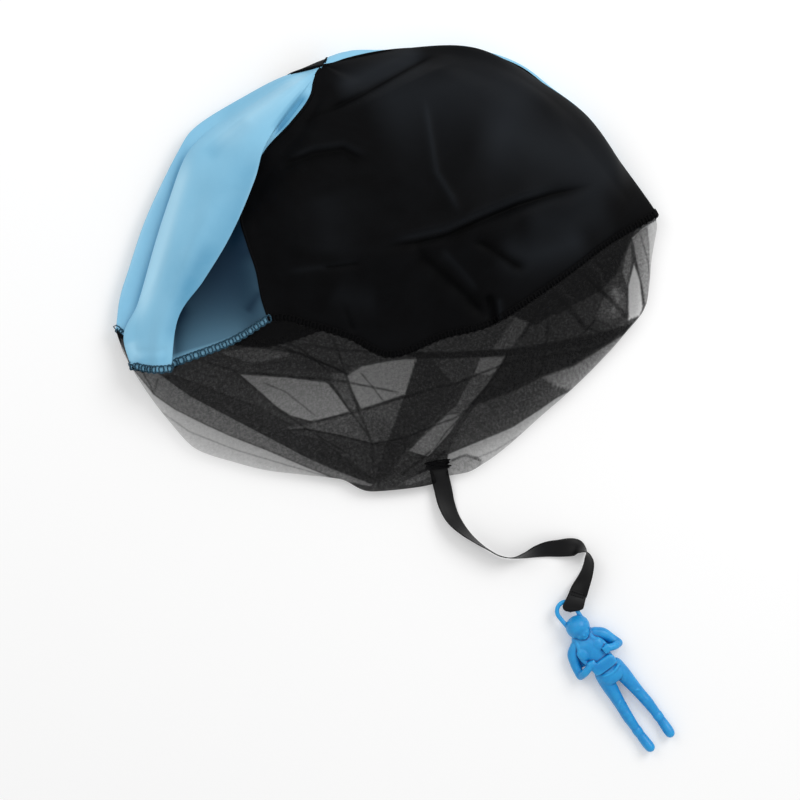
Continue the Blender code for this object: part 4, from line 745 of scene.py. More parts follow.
left_seen = quarter_seen(LEFT_BLUE, (0.0, 0.10, 0.19, 0.225, 0.26, 0.32, 0.42, 0.56, 0.64, 0.72, 0.82, 1.0))
front_seen = quarter_seen(FRONT_BLACK, (0.0, 0.05, 0.12, 0.22, 0.33, 0.45, 0.57, 0.69, 0.81, 0.93, 1.0))
back_blue_seen = quarter_seen(BACK_BLUE, (0.0, 0.10, 0.22, 0.50, 0.78, 1.0))
back_black_seen = quarter_seen(BACK_BLACK, (0.0, 0.34, 0.66, 0.86, 1.0))
hem_seen_plain = [s[-1].copy() for s in (left_seen, front_seen, back_blue_seen, back_black_seen)]

left_seen = ripples(left_seen, 3, 0.00035, 9)
left_seen = creased(left_seen, (
    # The light ridge down the flap from the crown.
    (((313, 71), (300, 82), (284, 93), (268, 104), (250, 118), (232, 132), (214, 147)), 0.0014, 9, 5, 0.28, 0.66),
    # The small fold beside the front seam.
    (((306, 96), (294, 108), (283, 122), (272, 138)), -0.0010, 5, 3, 0.40, 0.80),
    # Slack folds low on the flap.
    (((214, 200), (196, 240), (176, 285), (160, 330)), 0.0009, 12, 9, 0.38, 0.66),
    (((206, 180), (192, 228), (176, 276), (164, 322)), -0.0006, 8, 8, 0.36, 0.62),
    (((130, 350), (142, 352), (158, 352), (170, 349)), -0.0008, 4, 3, 0.30, 0.70),
))
front_seen = ripples(front_seen, 5, 0.0006, 11)
front_seen = creased(front_seen, (
    (((318, 117), (345, 103), (364, 94), (397, 75), (439, 54)), -0.0034, 5, 4, 0.08, 0.95),
    (((352, 112), (378, 99), (404, 86), (436, 70), (462, 60)), 0.0022, 8, 7, 0.12, 0.9),
    (((424, 94), (430, 130), (437, 172), (452, 196), (463, 218)), 0.0016, 4, 4, 0.2, 0.8),
    (((380, 254), (392, 247), (420, 242), (446, 236), (477, 222), (518, 205), (552, 194), (600, 184)),
     -0.0038, 4, 7, 0.1, 1.0),
    (((386, 238), (410, 232), (446, 225), (480, 210), (520, 194), (560, 184)), 0.0020, 8, 5, 0.1, 1.0),
    (((412, 240), (424, 258), (442, 274), (462, 292), (492, 324)), -0.0036, 7, 8, 0.2, 0.9),
    (((470, 238), (490, 248), (508, 260), (527, 273)), -0.0030, 6, 5, 0.3, 0.95),
    (((488, 292), (492, 308), (496, 330)), -0.0046, 4, 4, 0.3, 0.9),
    (((278, 172), (290, 163), (314, 154), (343, 150), (370, 166)), -0.0020, 4, 8, 0.05, 0.6),
    (((282, 165), (314, 146), (345, 142), (374, 156)), 0.0012, 6, 4, 0.05, 0.6),
    (((300, 180), (296, 215), (300, 250), (310, 300)), 0.0012, 10, 12, 0.05, 0.5),
    (((320, 268), (340, 266), (364, 262)), -0.0016, 3, 4, 0.05, 0.6),
    (((344, 302), (348, 316), (354, 334)), -0.0016, 4, 4, 0.05, 0.6),
    (((560, 120), (590, 150), (612, 180), (634, 208)), -0.0012, 7, 7, 0.4, 1.0),
))


# Painted shade: the left quarter's cloth goes under its own flap in the dark triangle, and lies on the black quarter
# there, so its colour is painted dark for the flap's shadow and the black seen through the thin cloth, with lighter and
# darker bands and less of it at the hem.
left_across = np.broadcast_to(np.linspace(0.0, 1.0, COLUMNS), left_seen.shape[:2])
left_y = left_seen[..., 1]
under = smooth_step(left_across, 0.655, 0.675) * smooth_step(left_y, 196.0, 224.0)
under = under * (1 - 0.75 * smooth_step(np.linspace(0.0, 1.0, ROWS), 0.976, 0.990)[:, None])
depth = 1.0 - 0.09 * smooth_step(left_y, 262.0, 340.0)
lighter = toned(left_seen, (
    (((140, 374), (180, 354), (212, 344), (262, 336)), 0.17, 20, 20, 0.6, 1.0),
    (((250, 250), (262, 296), (272, 330)), 0.06, 12, 12, 0.6, 1.0),
))
darker = toned(left_seen, (
    (((184, 300), (176, 324), (176, 344), (180, 366)), 0.10, 8, 8, 0.655, 1.0),
    (((262, 290), (254, 302), (246, 314)), 0.06, 5, 5, 0.655, 1.0),
))
left_shade = under * np.clip(depth - lighter + darker, 0.0, 1.0)
# Painted shade along creases: the crest's far side, the tuck under the flap, a broad band near the crown and the low
# folds.
left_fold_shade = toned(left_seen, (
    (((262, 140), (250, 184), (233, 228), (214, 262), (192, 300), (178, 328)), 0.50, 4, 24, 0.34, 0.66),
    (((192, 138), (184, 154), (176, 176), (166, 213), (155, 249), (143, 288), (130, 326)), 0.62, 4, 3, 0.0, 0.24),
    (((303, 80), (268, 92), (236, 107), (214, 122)), 0.20, 12, 12, 0.0, 0.5),
    (((310, 92), (297, 106), (285, 122), (276, 136)), 0.95, 6, 7, 0.60, 1.0),
    (((212, 236), (194, 272), (180, 304), (172, 330), (168, 352)), 0.42, 12, 9, 0.32, 0.66),
    (((127, 356), (142, 361), (158, 361), (172, 356)), 0.25, 5, 5, 0.30, 0.70),
    (((252, 118), (228, 140), (208, 162)), 0.25, 6, 12, 0.34, 0.60),
))
# Painted highlights on the flap's ridges and edges.
left_gleam = toned(left_seen, (
    (((192, 150), (178, 194), (166, 236), (152, 282), (136, 330)), 0.80, 6, 26, 0.26, 0.60),
    (((313, 70), (292, 84), (270, 102), (252, 115), (232, 132), (210, 150)), 0.62, 9, 7, 0.2, 0.64),
    (((262, 156), (250, 192), (234, 232), (212, 268), (192, 300)), 0.40, 2, 2, 0.5, 0.665),
    (((130, 340), (134, 350), (140, 362)), 0.5, 6, 8, 0.26, 0.50),
    (((116, 310), (126, 272), (146, 216), (172, 162)), 0.35, 4, 4, 0.02, 0.20),
))
# Painted highlights and sheen on the black quarter's folds.
front_gleam = toned(front_seen, (
    (((360, 112), (410, 96), (460, 84), (505, 86), (552, 108)), 0.68, 26, 46, 0.05, 1.0),
    (((470, 130), (530, 140), (590, 165), (628, 196)), 0.75, 34, 40, 0.05, 1.0),
    (((424, 94), (430, 130), (437, 172), (452, 196), (463, 218)), 0.60, 2.2, 3.5, 0.05, 1.0),
    (((330, 90), (358, 80), (388, 67), (428, 48)), 1.0, 12, 14, 0.05, 1.0),
    (((384, 245), (400, 239), (424, 234), (446, 229), (480, 214), (520, 198), (560, 186)), 0.55, 4, 3, 0.05, 1.0),
    (((520, 222), (570, 224), (616, 206)), 0.38, 20, 22, 0.05, 1.0),
    (((440, 246), (462, 270), (480, 292)), 0.30, 2, 6, 0.05, 1.0),
    (((492, 250), (530, 256), (560, 248), (592, 236)), 0.72, 15, 18, 0.05, 1.0),
    (((500, 296), (501, 310), (500, 326)), 0.6, 1.5, 2.5, 0.05, 1.0),
    (((288, 158), (314, 148), (343, 144), (370, 156)), 0.35, 3, 3, 0.05, 1.0),
    (((285, 272), (330, 266), (364, 260)), 0.30, 3, 3, 0.05, 1.0),
    (((320, 190), (330, 220), (326, 260)), 0.25, 26, 22, 0.05, 1.0),
    (((330, 290), (350, 300), (380, 300)), 0.22, 16, 16, 0.05, 1.0),
))
# Painted shade in the black quarter's creases.
front_fold_shade = toned(front_seen, (
    (((292, 128), (320, 114), (345, 103), (364, 94), (397, 76), (424, 61), (452, 50)), 0.85, 2.4, 2.6, 0.05, 1.0),
    (((392, 247), (420, 242), (446, 236), (477, 222), (518, 205), (552, 194), (600, 184)), 1.0, 2.4, 4.5, 0.05, 1.0),
    (((412, 240), (424, 258), (442, 274), (462, 292), (492, 324)), 1.0, 7, 8, 0.05, 1.0),
    (((470, 238), (490, 248), (508, 260), (527, 273)), 1.0, 6, 5, 0.05, 1.0),
    (((488, 294), (492, 308), (496, 329)), 1.0, 4, 4, 0.05, 1.0),
    (((276, 174), (290, 163), (314, 155), (343, 151), (368, 166)), 0.9, 4, 9, 0.05, 1.0),
    (((322, 268), (340, 266), (362, 263)), 1.0, 2, 2.2, 0.05, 1.0),
    (((344, 306), (348, 316), (354, 332)), 0.5, 3, 3, 0.05, 1.0),
    (((284, 80), (300, 104), (290, 130)), 0.4, 10, 10, 0.05, 1.0),
))
left_grid = cloth_quarter("canopy_left_blue", left_seen, blue_nylon, "panel_left_blue", "light_blue_nylon",
                          (0.18, 0.18), 0.0185, ["canopy_back_black"],
                          shade=left_shade, gleam=left_gleam, deep=left_fold_shade)
front_grid = cloth_quarter("canopy_front_black", front_seen, black_nylon, "panel_front_black", "black_nylon",
                           (0.20, 0.20), 0.0270, ["canopy_back_blue"], gleam=front_gleam, deep=front_fold_shade)
back_blue_grid = cloth_quarter("canopy_back_blue", back_blue_seen, blue_nylon, "panel_back_blue", "light_blue_nylon",
                               (0.20, 0.20), 0.0225, ["table_top"])
back_black_grid = cloth_quarter("canopy_back_black", back_black_seen, black_nylon, "panel_back_black", "black_nylon",
                                (0.18, 0.18), 0.0135, ["table_top"])


# ---- seams ----

SEAM_STITCH_PITCH = 0.0032
SEAM_STITCH_HALF = 0.36  # half a stitch, in pitches
SEAM_STITCH_LIFT = 0.0005


def seam_piece(name, line, node):
    """A felled seam: a flat roll of cloth along the line, with a row of stitches on its top."""
    along = ways(line)
    level = unit(np.cross(along, np.broadcast_to(Z_UP, along.shape)))
    upright = np.cross(level, along)
    ends = np.clip(np.arange(-1, len(line) + 1), 0, len(line) - 1)
    swell = np.ones((len(ends), 1))
    swell[[0, -1]] = 0.02
    body = patch(ringed(line[ends], level[ends] * 0.0009 * swell, upright[ends] * 0.00055 * swell,
                        np.linspace(0.0, math.tau, 10, endpoint=False)), None, False, True)
    way = lengths_along(line)
    count = int((way[-1] - 2 * SEAM_STITCH_PITCH) / SEAM_STITCH_PITCH)
    share = np.linspace(-SEAM_STITCH_HALF, SEAM_STITCH_HALF, 5)
    at = (np.arange(count)[:, None] + 1 + share[None]) * SEAM_STITCH_PITCH
    rise = sampled(at, way, upright)
    bow = (1 - (share / SEAM_STITCH_HALF) ** 2) * 0.0002 + SEAM_STITCH_LIFT
    thread = sampled(at, way, line) + unit(rise) * bow[None, :, None]
    run = unit(np.gradient(thread, axis=1))
    side = unit(np.cross(run, rise))
    size = (np.array([0.15, 0.9, 1.0, 0.9, 0.15]) * 0.00022)[None, :, None]
    stitches = ringed(thread, side * size, np.cross(side, run) * size, np.linspace(0.0, math.tau, 5, endpoint=False))
    made = build(name, together([body, many(stitches, None, False, True)]), black_nylon, weld=0.00002, outwards=True)
    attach(made, "canopy")
    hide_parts(node)


def thinned(line, step=0.0015):
    """The line's points at an even step along it."""
    way = lengths_along(line)
    return sampled(np.linspace(0.0, way[-1], max(2, int(way[-1] / step))), way, line)


seam_piece("felled_seam_long", thinned(np.vstack([left_grid[::-1, 0], front_grid[1:, -1]])), "seam_long")
seam_piece("felled_seam_front", thinned(left_grid[3:, -1]), "seam_front")
seam_piece("felled_seam_back", thinned(back_blue_grid[3:, -1]), "seam_back")


# ---- hem ----

HEM_STITCH_PITCH = 0.0042
HEM_REACH_ROWS = 14  # rows of cloth from its edge that show the way into it
TUCK = (0.205, 0.262)  # where the left quarter's hem is tucked under the flap, in shares of it
hem_parts = [left_grid, front_grid, back_blue_grid, back_black_grid]


def round_hem(row):
    """The quarters' points on one row as a closed line."""
    line = np.vstack([g[row, :-1] for g in hem_parts])
    return np.vstack([line, line[:1]])


hem_closed, inner_closed = round_hem(-1), round_hem(-HEM_REACH_ROWS)
hem_way = lengths_along(hem_closed)
stitch_count = int(round(hem_way[-1] / HEM_STITCH_PITCH))


def hem_frame(way):
    """Place, way along, way into the cloth and way off it, at lengths along the hem."""
    way = np.mod(way, hem_way[-1])
    place = sampled(way, hem_way, hem_closed)
    back, ahead = (sampled(np.mod(way + step, hem_way[-1]), hem_way, hem_closed) for step in (-0.002, 0.002))
    along = unit(ahead - back)
    inward = sampled(way, hem_way, inner_closed) - place
    inward = unit(inward - (inward * along).sum(axis=-1, keepdims=True) * along)
    off = np.cross(along, inward)
    return place, along, inward, off * np.where(off[..., 2:] < 0, -1.0, 1.0)


def overlock():
    """Overlock stitches round the hem. Each stitch is two thread loops round the cloth's edge, ellipses 4 mm across
    and 2 mm high that bow apart on the top and so make a row of rings there, and two chains of thread run on the
    loops' inner and outer ends. The thread is dark blue where it was sewn over blue cloth, and black over black."""
    pitch = hem_way[-1] / stitch_count
    middle = (np.arange(stitch_count) + 0.5) * pitch
    centre, along, inward, off = hem_frame(middle)
    turn = np.linspace(0.0, math.tau, 20, endpoint=False)
    reach_in = 0.0015 + 0.0019 * np.cos(turn)
    rise = 0.00095 * np.sin(turn)
    bow = pitch * 0.31 * np.clip(np.sin(turn), 0.0, 1.0) ** 0.7
    # The stitches are pressed small where the hem is tucked under the flap.
    tuck = hem_way[[int(share * (COLUMNS - 1)) for share in TUCK]]
    snug = 1.0 - 0.72 * span(middle, tuck[0] - 0.004, tuck[0], tuck[1] - 0.002, tuck[1])
    snug = np.where(middle < tuck[0], np.minimum(snug, 0.6), snug)
    uneven = np.random.default_rng(7).uniform(0.88, 1.12, (2, stitch_count))
    ring = np.linspace(0.0, math.tau, 6, endpoint=False)
    halves = []
    for side_way, swell in zip((1.0, -1.0), uneven):
        loop = (centre[:, None] + (inward[:, None] * reach_in[None, :, None] + off[:, None] * rise[None, :, None]
                + along[:, None] * (side_way * bow[None] * swell[:, None])[..., None]) * snug[:, None, None])
        run = unit(np.roll(loop, -1, axis=1) - np.roll(loop, 1, axis=1))
        side = unit(np.cross(np.broadcast_to(along[:, None], run.shape), run))
        halves.append((loop, side, np.cross(run, side)))
    u, v = np.meshgrid(np.linspace(0, 1, 7), np.linspace(0.0, 0.0105, 21))
    uv = np.stack([u, v], axis=-1)
    quarter_ends = hem_way[np.cumsum([0] + [len(g[-1]) - 1 for g in hem_parts])]
    blues = [(quarter_ends[0], quarter_ends[1]), (quarter_ends[2], quarter_ends[3])]
    blacks = [(quarter_ends[1], quarter_ends[2]), (quarter_ends[3], quarter_ends[4])]
    blue = np.array([any(low <= way < high for low, high in blues) for way in middle])
    for name, chosen, spans, finish, size in (("overlock_on_blue", blue, blues, dark_thread, 0.00044),
                                              ("overlock_on_black", ~blue, blacks, black_thread, 0.00030)):
        pieces = []
        for loop, side, up in halves:
            pieces.append(many(ringed(loop[chosen], side[chosen] * size, up[chosen] * size, ring), uv, True, True))
        for low, high in spans:
            at = np.linspace(low, high, int((high - low) / pitch * 8))
            place, _, way_in, way_off = hem_frame(at)
            beat = np.cos(at / pitch * math.tau)
            close = np.interp(at, middle, snug)[:, None]
            for reach, rise_by in ((-0.00035, 0.0003), (0.0032, 0.00070)):
                line = place + (way_in * (reach + 0.0003 * beat)[:, None] + way_off * rise_by) * close
                pieces.append(tube(line, size * 0.75, 6, Z_UP))
        made = build(name, together(pieces), finish, weld=0.000005)
        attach(made, "canopy")
        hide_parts("hem_overlock")


overlock()


# ---- net ----

# Lines of the net from the hem to the neck, by their place round the hem, in quarters of it: 0 left corner,
# 1 front seam, 2 right corner, 3 back seam. Picture x, y and height share. The two corner lines run out below
# the neck and back up to it, where the net puffs out beside the ribbon.
NET_LINES = (
    (0, ((121, 346, 0.07), (133.5, 371, 0.08), (149.5, 395.5, 0.08), (169.5, 421.5, 0.08),
           (197, 449.5, 0.08), (232, 461.5, 0.08), (268, 470.5, 0.08), (306, 475, 0.08),
           (340, 479, 0.08), (372, 491.5, 0.08), (436.5, 482, 0.09))),
    (0.5, ((152, 380, 0.30), (164, 388, 0.28), (183, 402, 0.26), (209, 417, 0.23),
           (237, 430, 0.20), (268, 441, 0.18), (298, 452, 0.17), (330, 462, 0.16),
           (360, 468, 0.14), (385, 468, 0.13), (410, 464, 0.12))),
    (0.78, ((210, 356, 0.24), (222, 367, 0.23), (240, 381, 0.22), (262, 397, 0.21),
            (285, 411, 0.20), (309, 425, 0.19), (334, 438, 0.19), (359, 450, 0.18),
            (380, 456, 0.16), (398, 458, 0.14), (412, 457, 0.13))),
    (1, ((275, 329, 0.40), (286, 344, 0.38), (300, 362, 0.35), (316, 381, 0.32),
           (333, 399, 0.29), (351, 415, 0.27), (369, 430, 0.25), (387, 442, 0.21),
           (402, 448, 0.18), (414, 452, 0.15), (423, 454, 0.13))),
    (1.25, ((370, 356, 0.55), (373, 367, 0.50), (378, 380, 0.44), (384, 394, 0.38),
            (392, 407, 0.33), (400, 419, 0.29), (409, 429, 0.26), (417, 438, 0.24),
            (424, 445, 0.20), (429, 450, 0.16), (432, 453, 0.13))),
    (1.5, ((492, 336, 0.52), (488, 350, 0.46), (482, 365, 0.41), (475, 381, 0.36),
           (467, 397, 0.31), (459, 411, 0.28), (452, 424, 0.25), (446, 435, 0.23),
           (442, 443, 0.19), (440, 449, 0.16), (438, 452, 0.13))),
    (1.8, ((617, 253, 0.30), (615, 271, 0.27), (609, 291, 0.24), (597, 314, 0.21),
           (578, 339, 0.19), (555, 364, 0.18), (529, 389, 0.17), (502, 413, 0.17),
           (477, 433, 0.15), (460, 446, 0.14), (451, 451, 0.13))),
    (2, ((657, 226, 0.10), (652, 257, 0.09), (647, 302, 0.08), (625, 333.5, 0.08),
           (600, 361.5, 0.08), (570, 391, 0.08), (540, 417, 0.08), (507, 446.5, 0.08),
           (486, 462, 0.08), (467, 472.5, 0.08), (447, 476, 0.09))),
    (2.4, ((584, 256, 0), (576, 286, 0), (562, 316, 0), (544, 344, 0),
           (524, 370, 0), (504, 393, 0), (486, 414, 0), (468, 432, 0),
           (456, 443, 0.01), (449, 449, 0.02), (445, 453, 0.03))),
    (3, ((334, 336, 0), (346, 352, 0), (358, 370, 0), (370, 387, 0),
           (382, 403, 0), (394, 418, 0), (406, 431, 0), (417, 442, 0),
           (424, 447, 0.01), (430, 451, 0.02), (434, 454, 0.03))),
    (3.55, ((202, 352, 0), (222, 371, 0), (246, 389, 0), (272, 405, 0),
            (299, 419, 0), (326, 432, 0), (352, 444, 0), (377, 454, 0),
            (396, 458, 0.01), (409, 458, 0.02), (418, 457, 0.03))),
)
NECK_HALF_WIDTH = 0.0056
NECK_HALF_HEIGHT = 0.0013


NECK_LENGTH = 0.0055
NET_FLOOR = 0.0004


def neck_ring(turn, wide, high):
    """Points round the neck's flattened outline, from its middle."""
    return np.cos(turn)[:, None] * NECK_SIDE * wide + np.sin(turn)[:, None] * Z_UP * high


def hem_seen_at(places):
    """Picture places of the hem, with height, at places round it in quarters."""
    whole = np.concatenate([s[:-1] for s in hem_seen_plain] + [hem_seen_plain[0][:1]])
    return sampled(np.mod(places, 4.0), np.linspace(0.0, 4.0, len(whole)), whole)


def net_seen(places, steps):
    """The net as a smooth bag before it is pleated, at places round the hem and steps from 0 at the hem to 1 at
    the neck: a curve through the lines round it, then a gentle curve down it. Both inputs are the same grid."""
    keys = np.array([place for place, _ in NET_LINES])
    rays = np.array([table for _, table in NET_LINES], float)
    rays[..., 2] *= CANOPY_HEIGHT
    rays[..., 2] += NET_FLOOR
    wrapped = np.concatenate([rays[-3:], rays, rays[:3]])
    wrapped_keys = np.concatenate([keys[-3:] - 4, keys, keys[:3] + 4])
    fine = np.linspace(-0.3, 4.3, 1841)
    middle = gentle(wrapped_keys, wrapped, fine)
    mouth = neck_middle + neck_ring(math.pi - fine / 4 * math.tau, NECK_HALF_WIDTH, NECK_HALF_HEIGHT)
    ends = to_seen(np.stack([mouth, mouth + NECK_WAY * NECK_LENGTH], axis=1))
    stack = np.concatenate([hem_seen_at(fine)[:, None], middle, ends], axis=1)
    levels = np.linspace(0.0, 1.0, stack.shape[1])
    down = np.linspace(0.0, 1.0, 241)
    table = gentle(levels, stack.transpose(1, 0, 2), down)
    row = np.clip(steps * (len(down) - 1), 0, len(down) - 1.0001)
    column = np.clip((places - fine[0]) / (fine[1] - fine[0]), 0, len(fine) - 1.0001)
    r, c = row.astype(int), column.astype(int)
    fr, fc = (row - r)[..., None], (column - c)[..., None]
    return ((table[r, c] * (1 - fr) + table[r + 1, c] * fr) * (1 - fc)
            + (table[r, c + 1] * (1 - fr) + table[r + 1, c + 1] * fr) * fc)


# Folds of the net over itself, painted one over another: the number of layers that lie on each other, and the
# outline of that part in the picture. Outside them the net lies in BASE_LAYERS.
BASE_LAYERS = 12.0
EDGE_SOFTNESS = 0.9
NET_FOLDS = (
    (1.3, ((90, 322), (98, 362), (120, 412), (150, 452), (200, 482), (263, 494), (340, 492), (333, 479), (329, 476),
           (305, 466), (265, 449), (229, 435), (205, 424), (175, 409), (155, 395), (131, 366), (124, 350),
           (118, 338))),
    (6, ((131, 366), (155, 395), (175, 409), (205, 424), (229, 435), (265, 449), (305, 466), (329, 476), (345, 482),
           (373, 487), (373, 484), (337, 470), (305, 456), (271, 438), (229, 416), (191, 396), (163, 376), (146, 364))),
    (14.5, ((163, 376), (191, 396), (229, 416), (271, 438), (305, 456), (337, 470), (373, 484), (371, 478), (345, 458),
            (321, 440), (297, 428), (275, 416), (257, 406), (233, 398), (209, 388), (173, 375))),
    (8.6, ((217, 352), (249, 347), (285, 348), (291, 356), (273, 360), (253, 364), (237, 359))),
    (3.6, ((239, 374), (285, 377), (327, 382), (339, 396), (351, 412), (333, 417), (313, 422), (291, 416), (275, 406),
           (257, 390))),
    (2.9, ((345, 376), (361, 366), (393, 360), (419, 358), (415, 372), (407, 394), (381, 403), (361, 410),
           (351, 390))),
    (8, ((339, 358), (347, 376), (351, 390), (363, 422), (371, 440), (363, 428), (345, 404), (330, 383),
           (333, 370))),
    (13, ((251, 366), (295, 360), (331, 360), (351, 366), (345, 373), (305, 370), (265, 369))),
    (8.6, ((277, 431), (295, 424), (313, 422), (331, 418), (361, 410), (405, 397), (417, 393), (405, 438), (373, 444),
           (341, 436), (305, 429))),
    (12.5, ((277, 431), (305, 429), (341, 436), (373, 444), (389, 440), (375, 480), (345, 458), (321, 440),
            (297, 434))),
    (14.5, ((417, 358), (430, 353), (444, 370), (455, 392), (433, 420), (405, 450), (379, 484), (375, 480), (389, 440),
            (405, 396))),
    (11, ((430, 356), (496, 354), (498, 366), (466, 379), (455, 384), (444, 376))),
    (13.5, ((455, 384), (466, 379), (484, 372), (470, 392), (456, 408), (440, 420), (433, 420), (455, 392))),
    (8, ((516, 315), (540, 309), (524, 333), (508, 353), (500, 365), (492, 379), (466, 413), (450, 433), (428, 457),
           (408, 451), (426, 431), (456, 405), (470, 379), (484, 359), (496, 343))),
    (4.6, ((480, 357), (505, 357), (500, 368), (490, 376), (474, 374))),
    (4.4, ((462, 413), (450, 433), (428, 457), (408, 451), (420, 439), (446, 415))),
    (12, ((540, 305), (548, 325), (544, 357), (540, 377), (512, 391), (474, 405), (452, 440), (446, 457), (450, 441),
            (460, 421), (470, 405), (488, 385), (506, 357), (520, 337))),
    (17, ((622, 335), (580, 345), (544, 349), (508, 355), (506, 357), (488, 385), (470, 405), (474, 405), (512, 391),
            (540, 377), (574, 365))),
    (20, ((506, 310), (544, 290), (572, 272), (600, 250), (636, 228), (630, 240), (622, 260), (614, 278), (602, 291),
            (586, 299), (574, 314), (552, 314), (536, 325), (520, 318))),
    (12.5, ((574, 304), (600, 291), (617, 273), (626, 260), (628, 300), (628, 317), (600, 333), (575, 338), (552, 338),
            (548, 325), (562, 312))),
    (9.5, ((604, 296), (618, 284), (626, 296), (626, 314), (606, 325), (594, 318))),
    (7, ((631, 240), (625, 256), (622, 272), (627, 287), (632, 264))),
    (19, ((640, 322), (592, 335), (560, 341), (512, 349), (460, 352), (400, 353), (420, 358), (456, 358), (508, 355),
            (544, 349), (580, 345), (622, 335))),
    (10, ((540, 377), (512, 391), (474, 405), (452, 440), (446, 457), (448, 454), (464, 447), (488, 437), (512, 427),
            (540, 409), (566, 395), (556, 388)), 3),
    (4.6, ((622, 335), (574, 365), (540, 377), (556, 388), (576, 392), (596, 380), (614, 362), (634, 340)), 2.6),
    (1.7, ((578, 386), (556, 398), (540, 409), (512, 427), (488, 437), (464, 447), (448, 454), (446, 462), (450, 484),
           (472, 480), (494, 467), (518, 449), (548, 427), (580, 404))),
    (3.4, ((448, 463), (460, 456), (476, 457), (482, 462), (470, 478), (446, 480))),
    (1.4, ((632, 238), (640, 271), (645, 305), (641, 318), (655, 326), (668, 300), (668, 210), (656, 220),
           (642, 228))),
    (4.2, ((633, 240), (640, 231), (647, 227), (649, 245), (649, 268), (647, 306), (641, 282), (636, 260))),
    (0.4, ((634, 263), (640, 280), (643, 307), (640, 316), (628, 321), (628, 285))),
    (12, ((379, 484), (405, 462), (430, 456), (438, 478), (411, 492), (383, 494))),
    (8, ((402, 482), (431, 468), (434, 476), (406, 487))),
)
# Single folds and tucks: the layers they add on their middle, their half width in pixels, and their line.
NET_TUCKS = (
    (4, 0.9, ((131, 366), (142, 372), (150, 384), (153, 394), (159, 376))),
    (6, 0.9, ((243, 372), (285, 376), (341, 381), (377, 388), (401, 393))),
    (5, 0.9, ((333, 336), (343, 366), (351, 390), (363, 422), (371, 440))),
    (5, 0.9, ((329, 380), (345, 404), (363, 428), (371, 440), (374, 470))),
    (5.5, 1, ((277, 431), (313, 422), (331, 418), (361, 410), (405, 397), (435, 388), (455, 384), (466, 379),
                (508, 363), (540, 357), (590, 350), (622, 335))),
    (4, 1, ((277, 431), (305, 429), (341, 436), (373, 444), (405, 438), (433, 426), (455, 418), (480, 400))),
    (4, 0.9, ((199, 360), (233, 370), (257, 390), (279, 410), (291, 418), (305, 428), (325, 440), (355, 458))),
    (5, 0.9, ((588, 279), (612, 299), (628, 317))),
    (5, 0.9, ((564, 307), (586, 327), (600, 333))),
    (5, 0.9, ((544, 297), (548, 325), (544, 365), (536, 380))),
    (5, 1, ((450, 461), (466, 455), (482, 461))),
    (3, 0.8, ((640, 232), (648, 262), (651, 290), (645, 318))),
    (2, 0.8, ((150, 404), (190, 432), (236, 450), (290, 466), (340, 480))),
    (2, 0.8, ((560, 404), (528, 430), (496, 450), (462, 464))),
    (4, 0.8, ((360, 372), (372, 386), (384, 402))),
    (3.5, 0.8, ((262, 382), (286, 392), (318, 418))),
    (3.5, 0.8, ((432, 452), (446, 432), (470, 408), (498, 372), (512, 345))),
    (7, 1.4, ((578, 268), (600, 290), (616, 306), (628, 320))),
    (6, 1.2, ((548, 298), (534, 318), (520, 340))),
    (6, 1.6, ((548, 292), (562, 300), (574, 312), (586, 330))),
    (5, 1, ((598, 316), (590, 326), (583, 334))),
    (5, 1, ((614, 262), (607, 274), (597, 286))),
    (4, 1, ((628, 234), (622, 248), (618, 264))),
    (-6, 1.6, ((590, 262), (600, 272), (604, 284))),
    (-5, 1.4, ((560, 286), (568, 296), (580, 302))),
    (-3, 2.4, ((612, 284), (618, 298), (612, 314))),
    (6, 1, ((235, 345), (268, 348), (300, 353), (345, 372))),
    (6, 1, ((250, 338), (290, 350), (330, 366), (352, 376))),
    (5, 0.9, ((262, 334), (300, 348), (330, 372))),
    (5, 0.9, ((300, 344), (340, 350), (386, 352))),
    (6, 1.2, ((418, 474), (430, 466), (438, 458), (446, 450))),
    (5, 1, ((400, 476), (418, 462), (432, 450))),
)


def net_layers(plan):
    """Layers of net at points of the picture. Each fold's outline is a polygon with a soft edge, as wide in pixels
    each way as the table's third value, or EDGE_SOFTNESS, and a narrow denser rim, where the cloth turns over. Each
    tuck adds a bell curve across its line."""
    total = np.full(len(plan), BASE_LAYERS)
    for layers, corners, *soft in NET_FOLDS:
        ends = np.array(corners + corners[:1], float)
        distance = np.abs(beside(plan, ends)[0])
        inside = np.zeros(len(plan), bool)
        for (ax, ay), (bx, by) in zip(ends[:-1], ends[1:]):
            if ay != by:
                crossed = ((plan[:, 1] >= min(ay, by)) & (plan[:, 1] < max(ay, by))
                           & (plan[:, 0] < ax + (plan[:, 1] - ay) * (bx - ax) / (by - ay)))
                inside ^= crossed
        edge = soft[0] if soft else EDGE_SOFTNESS
        share = smooth_step(np.where(inside, distance, -distance), -edge, edge)
        total = total * (1 - share) + layers * share + 1.8 * np.exp(-((distance / 0.9) ** 2))
    for added, width, points in NET_TUCKS:
        distance, share = beside(plan, points)
        total += added * np.exp(-((distance / width) ** 2)) * span(share, 0.0, 0.08, 0.92, 1.0)
    return np.maximum(total, 0.2)


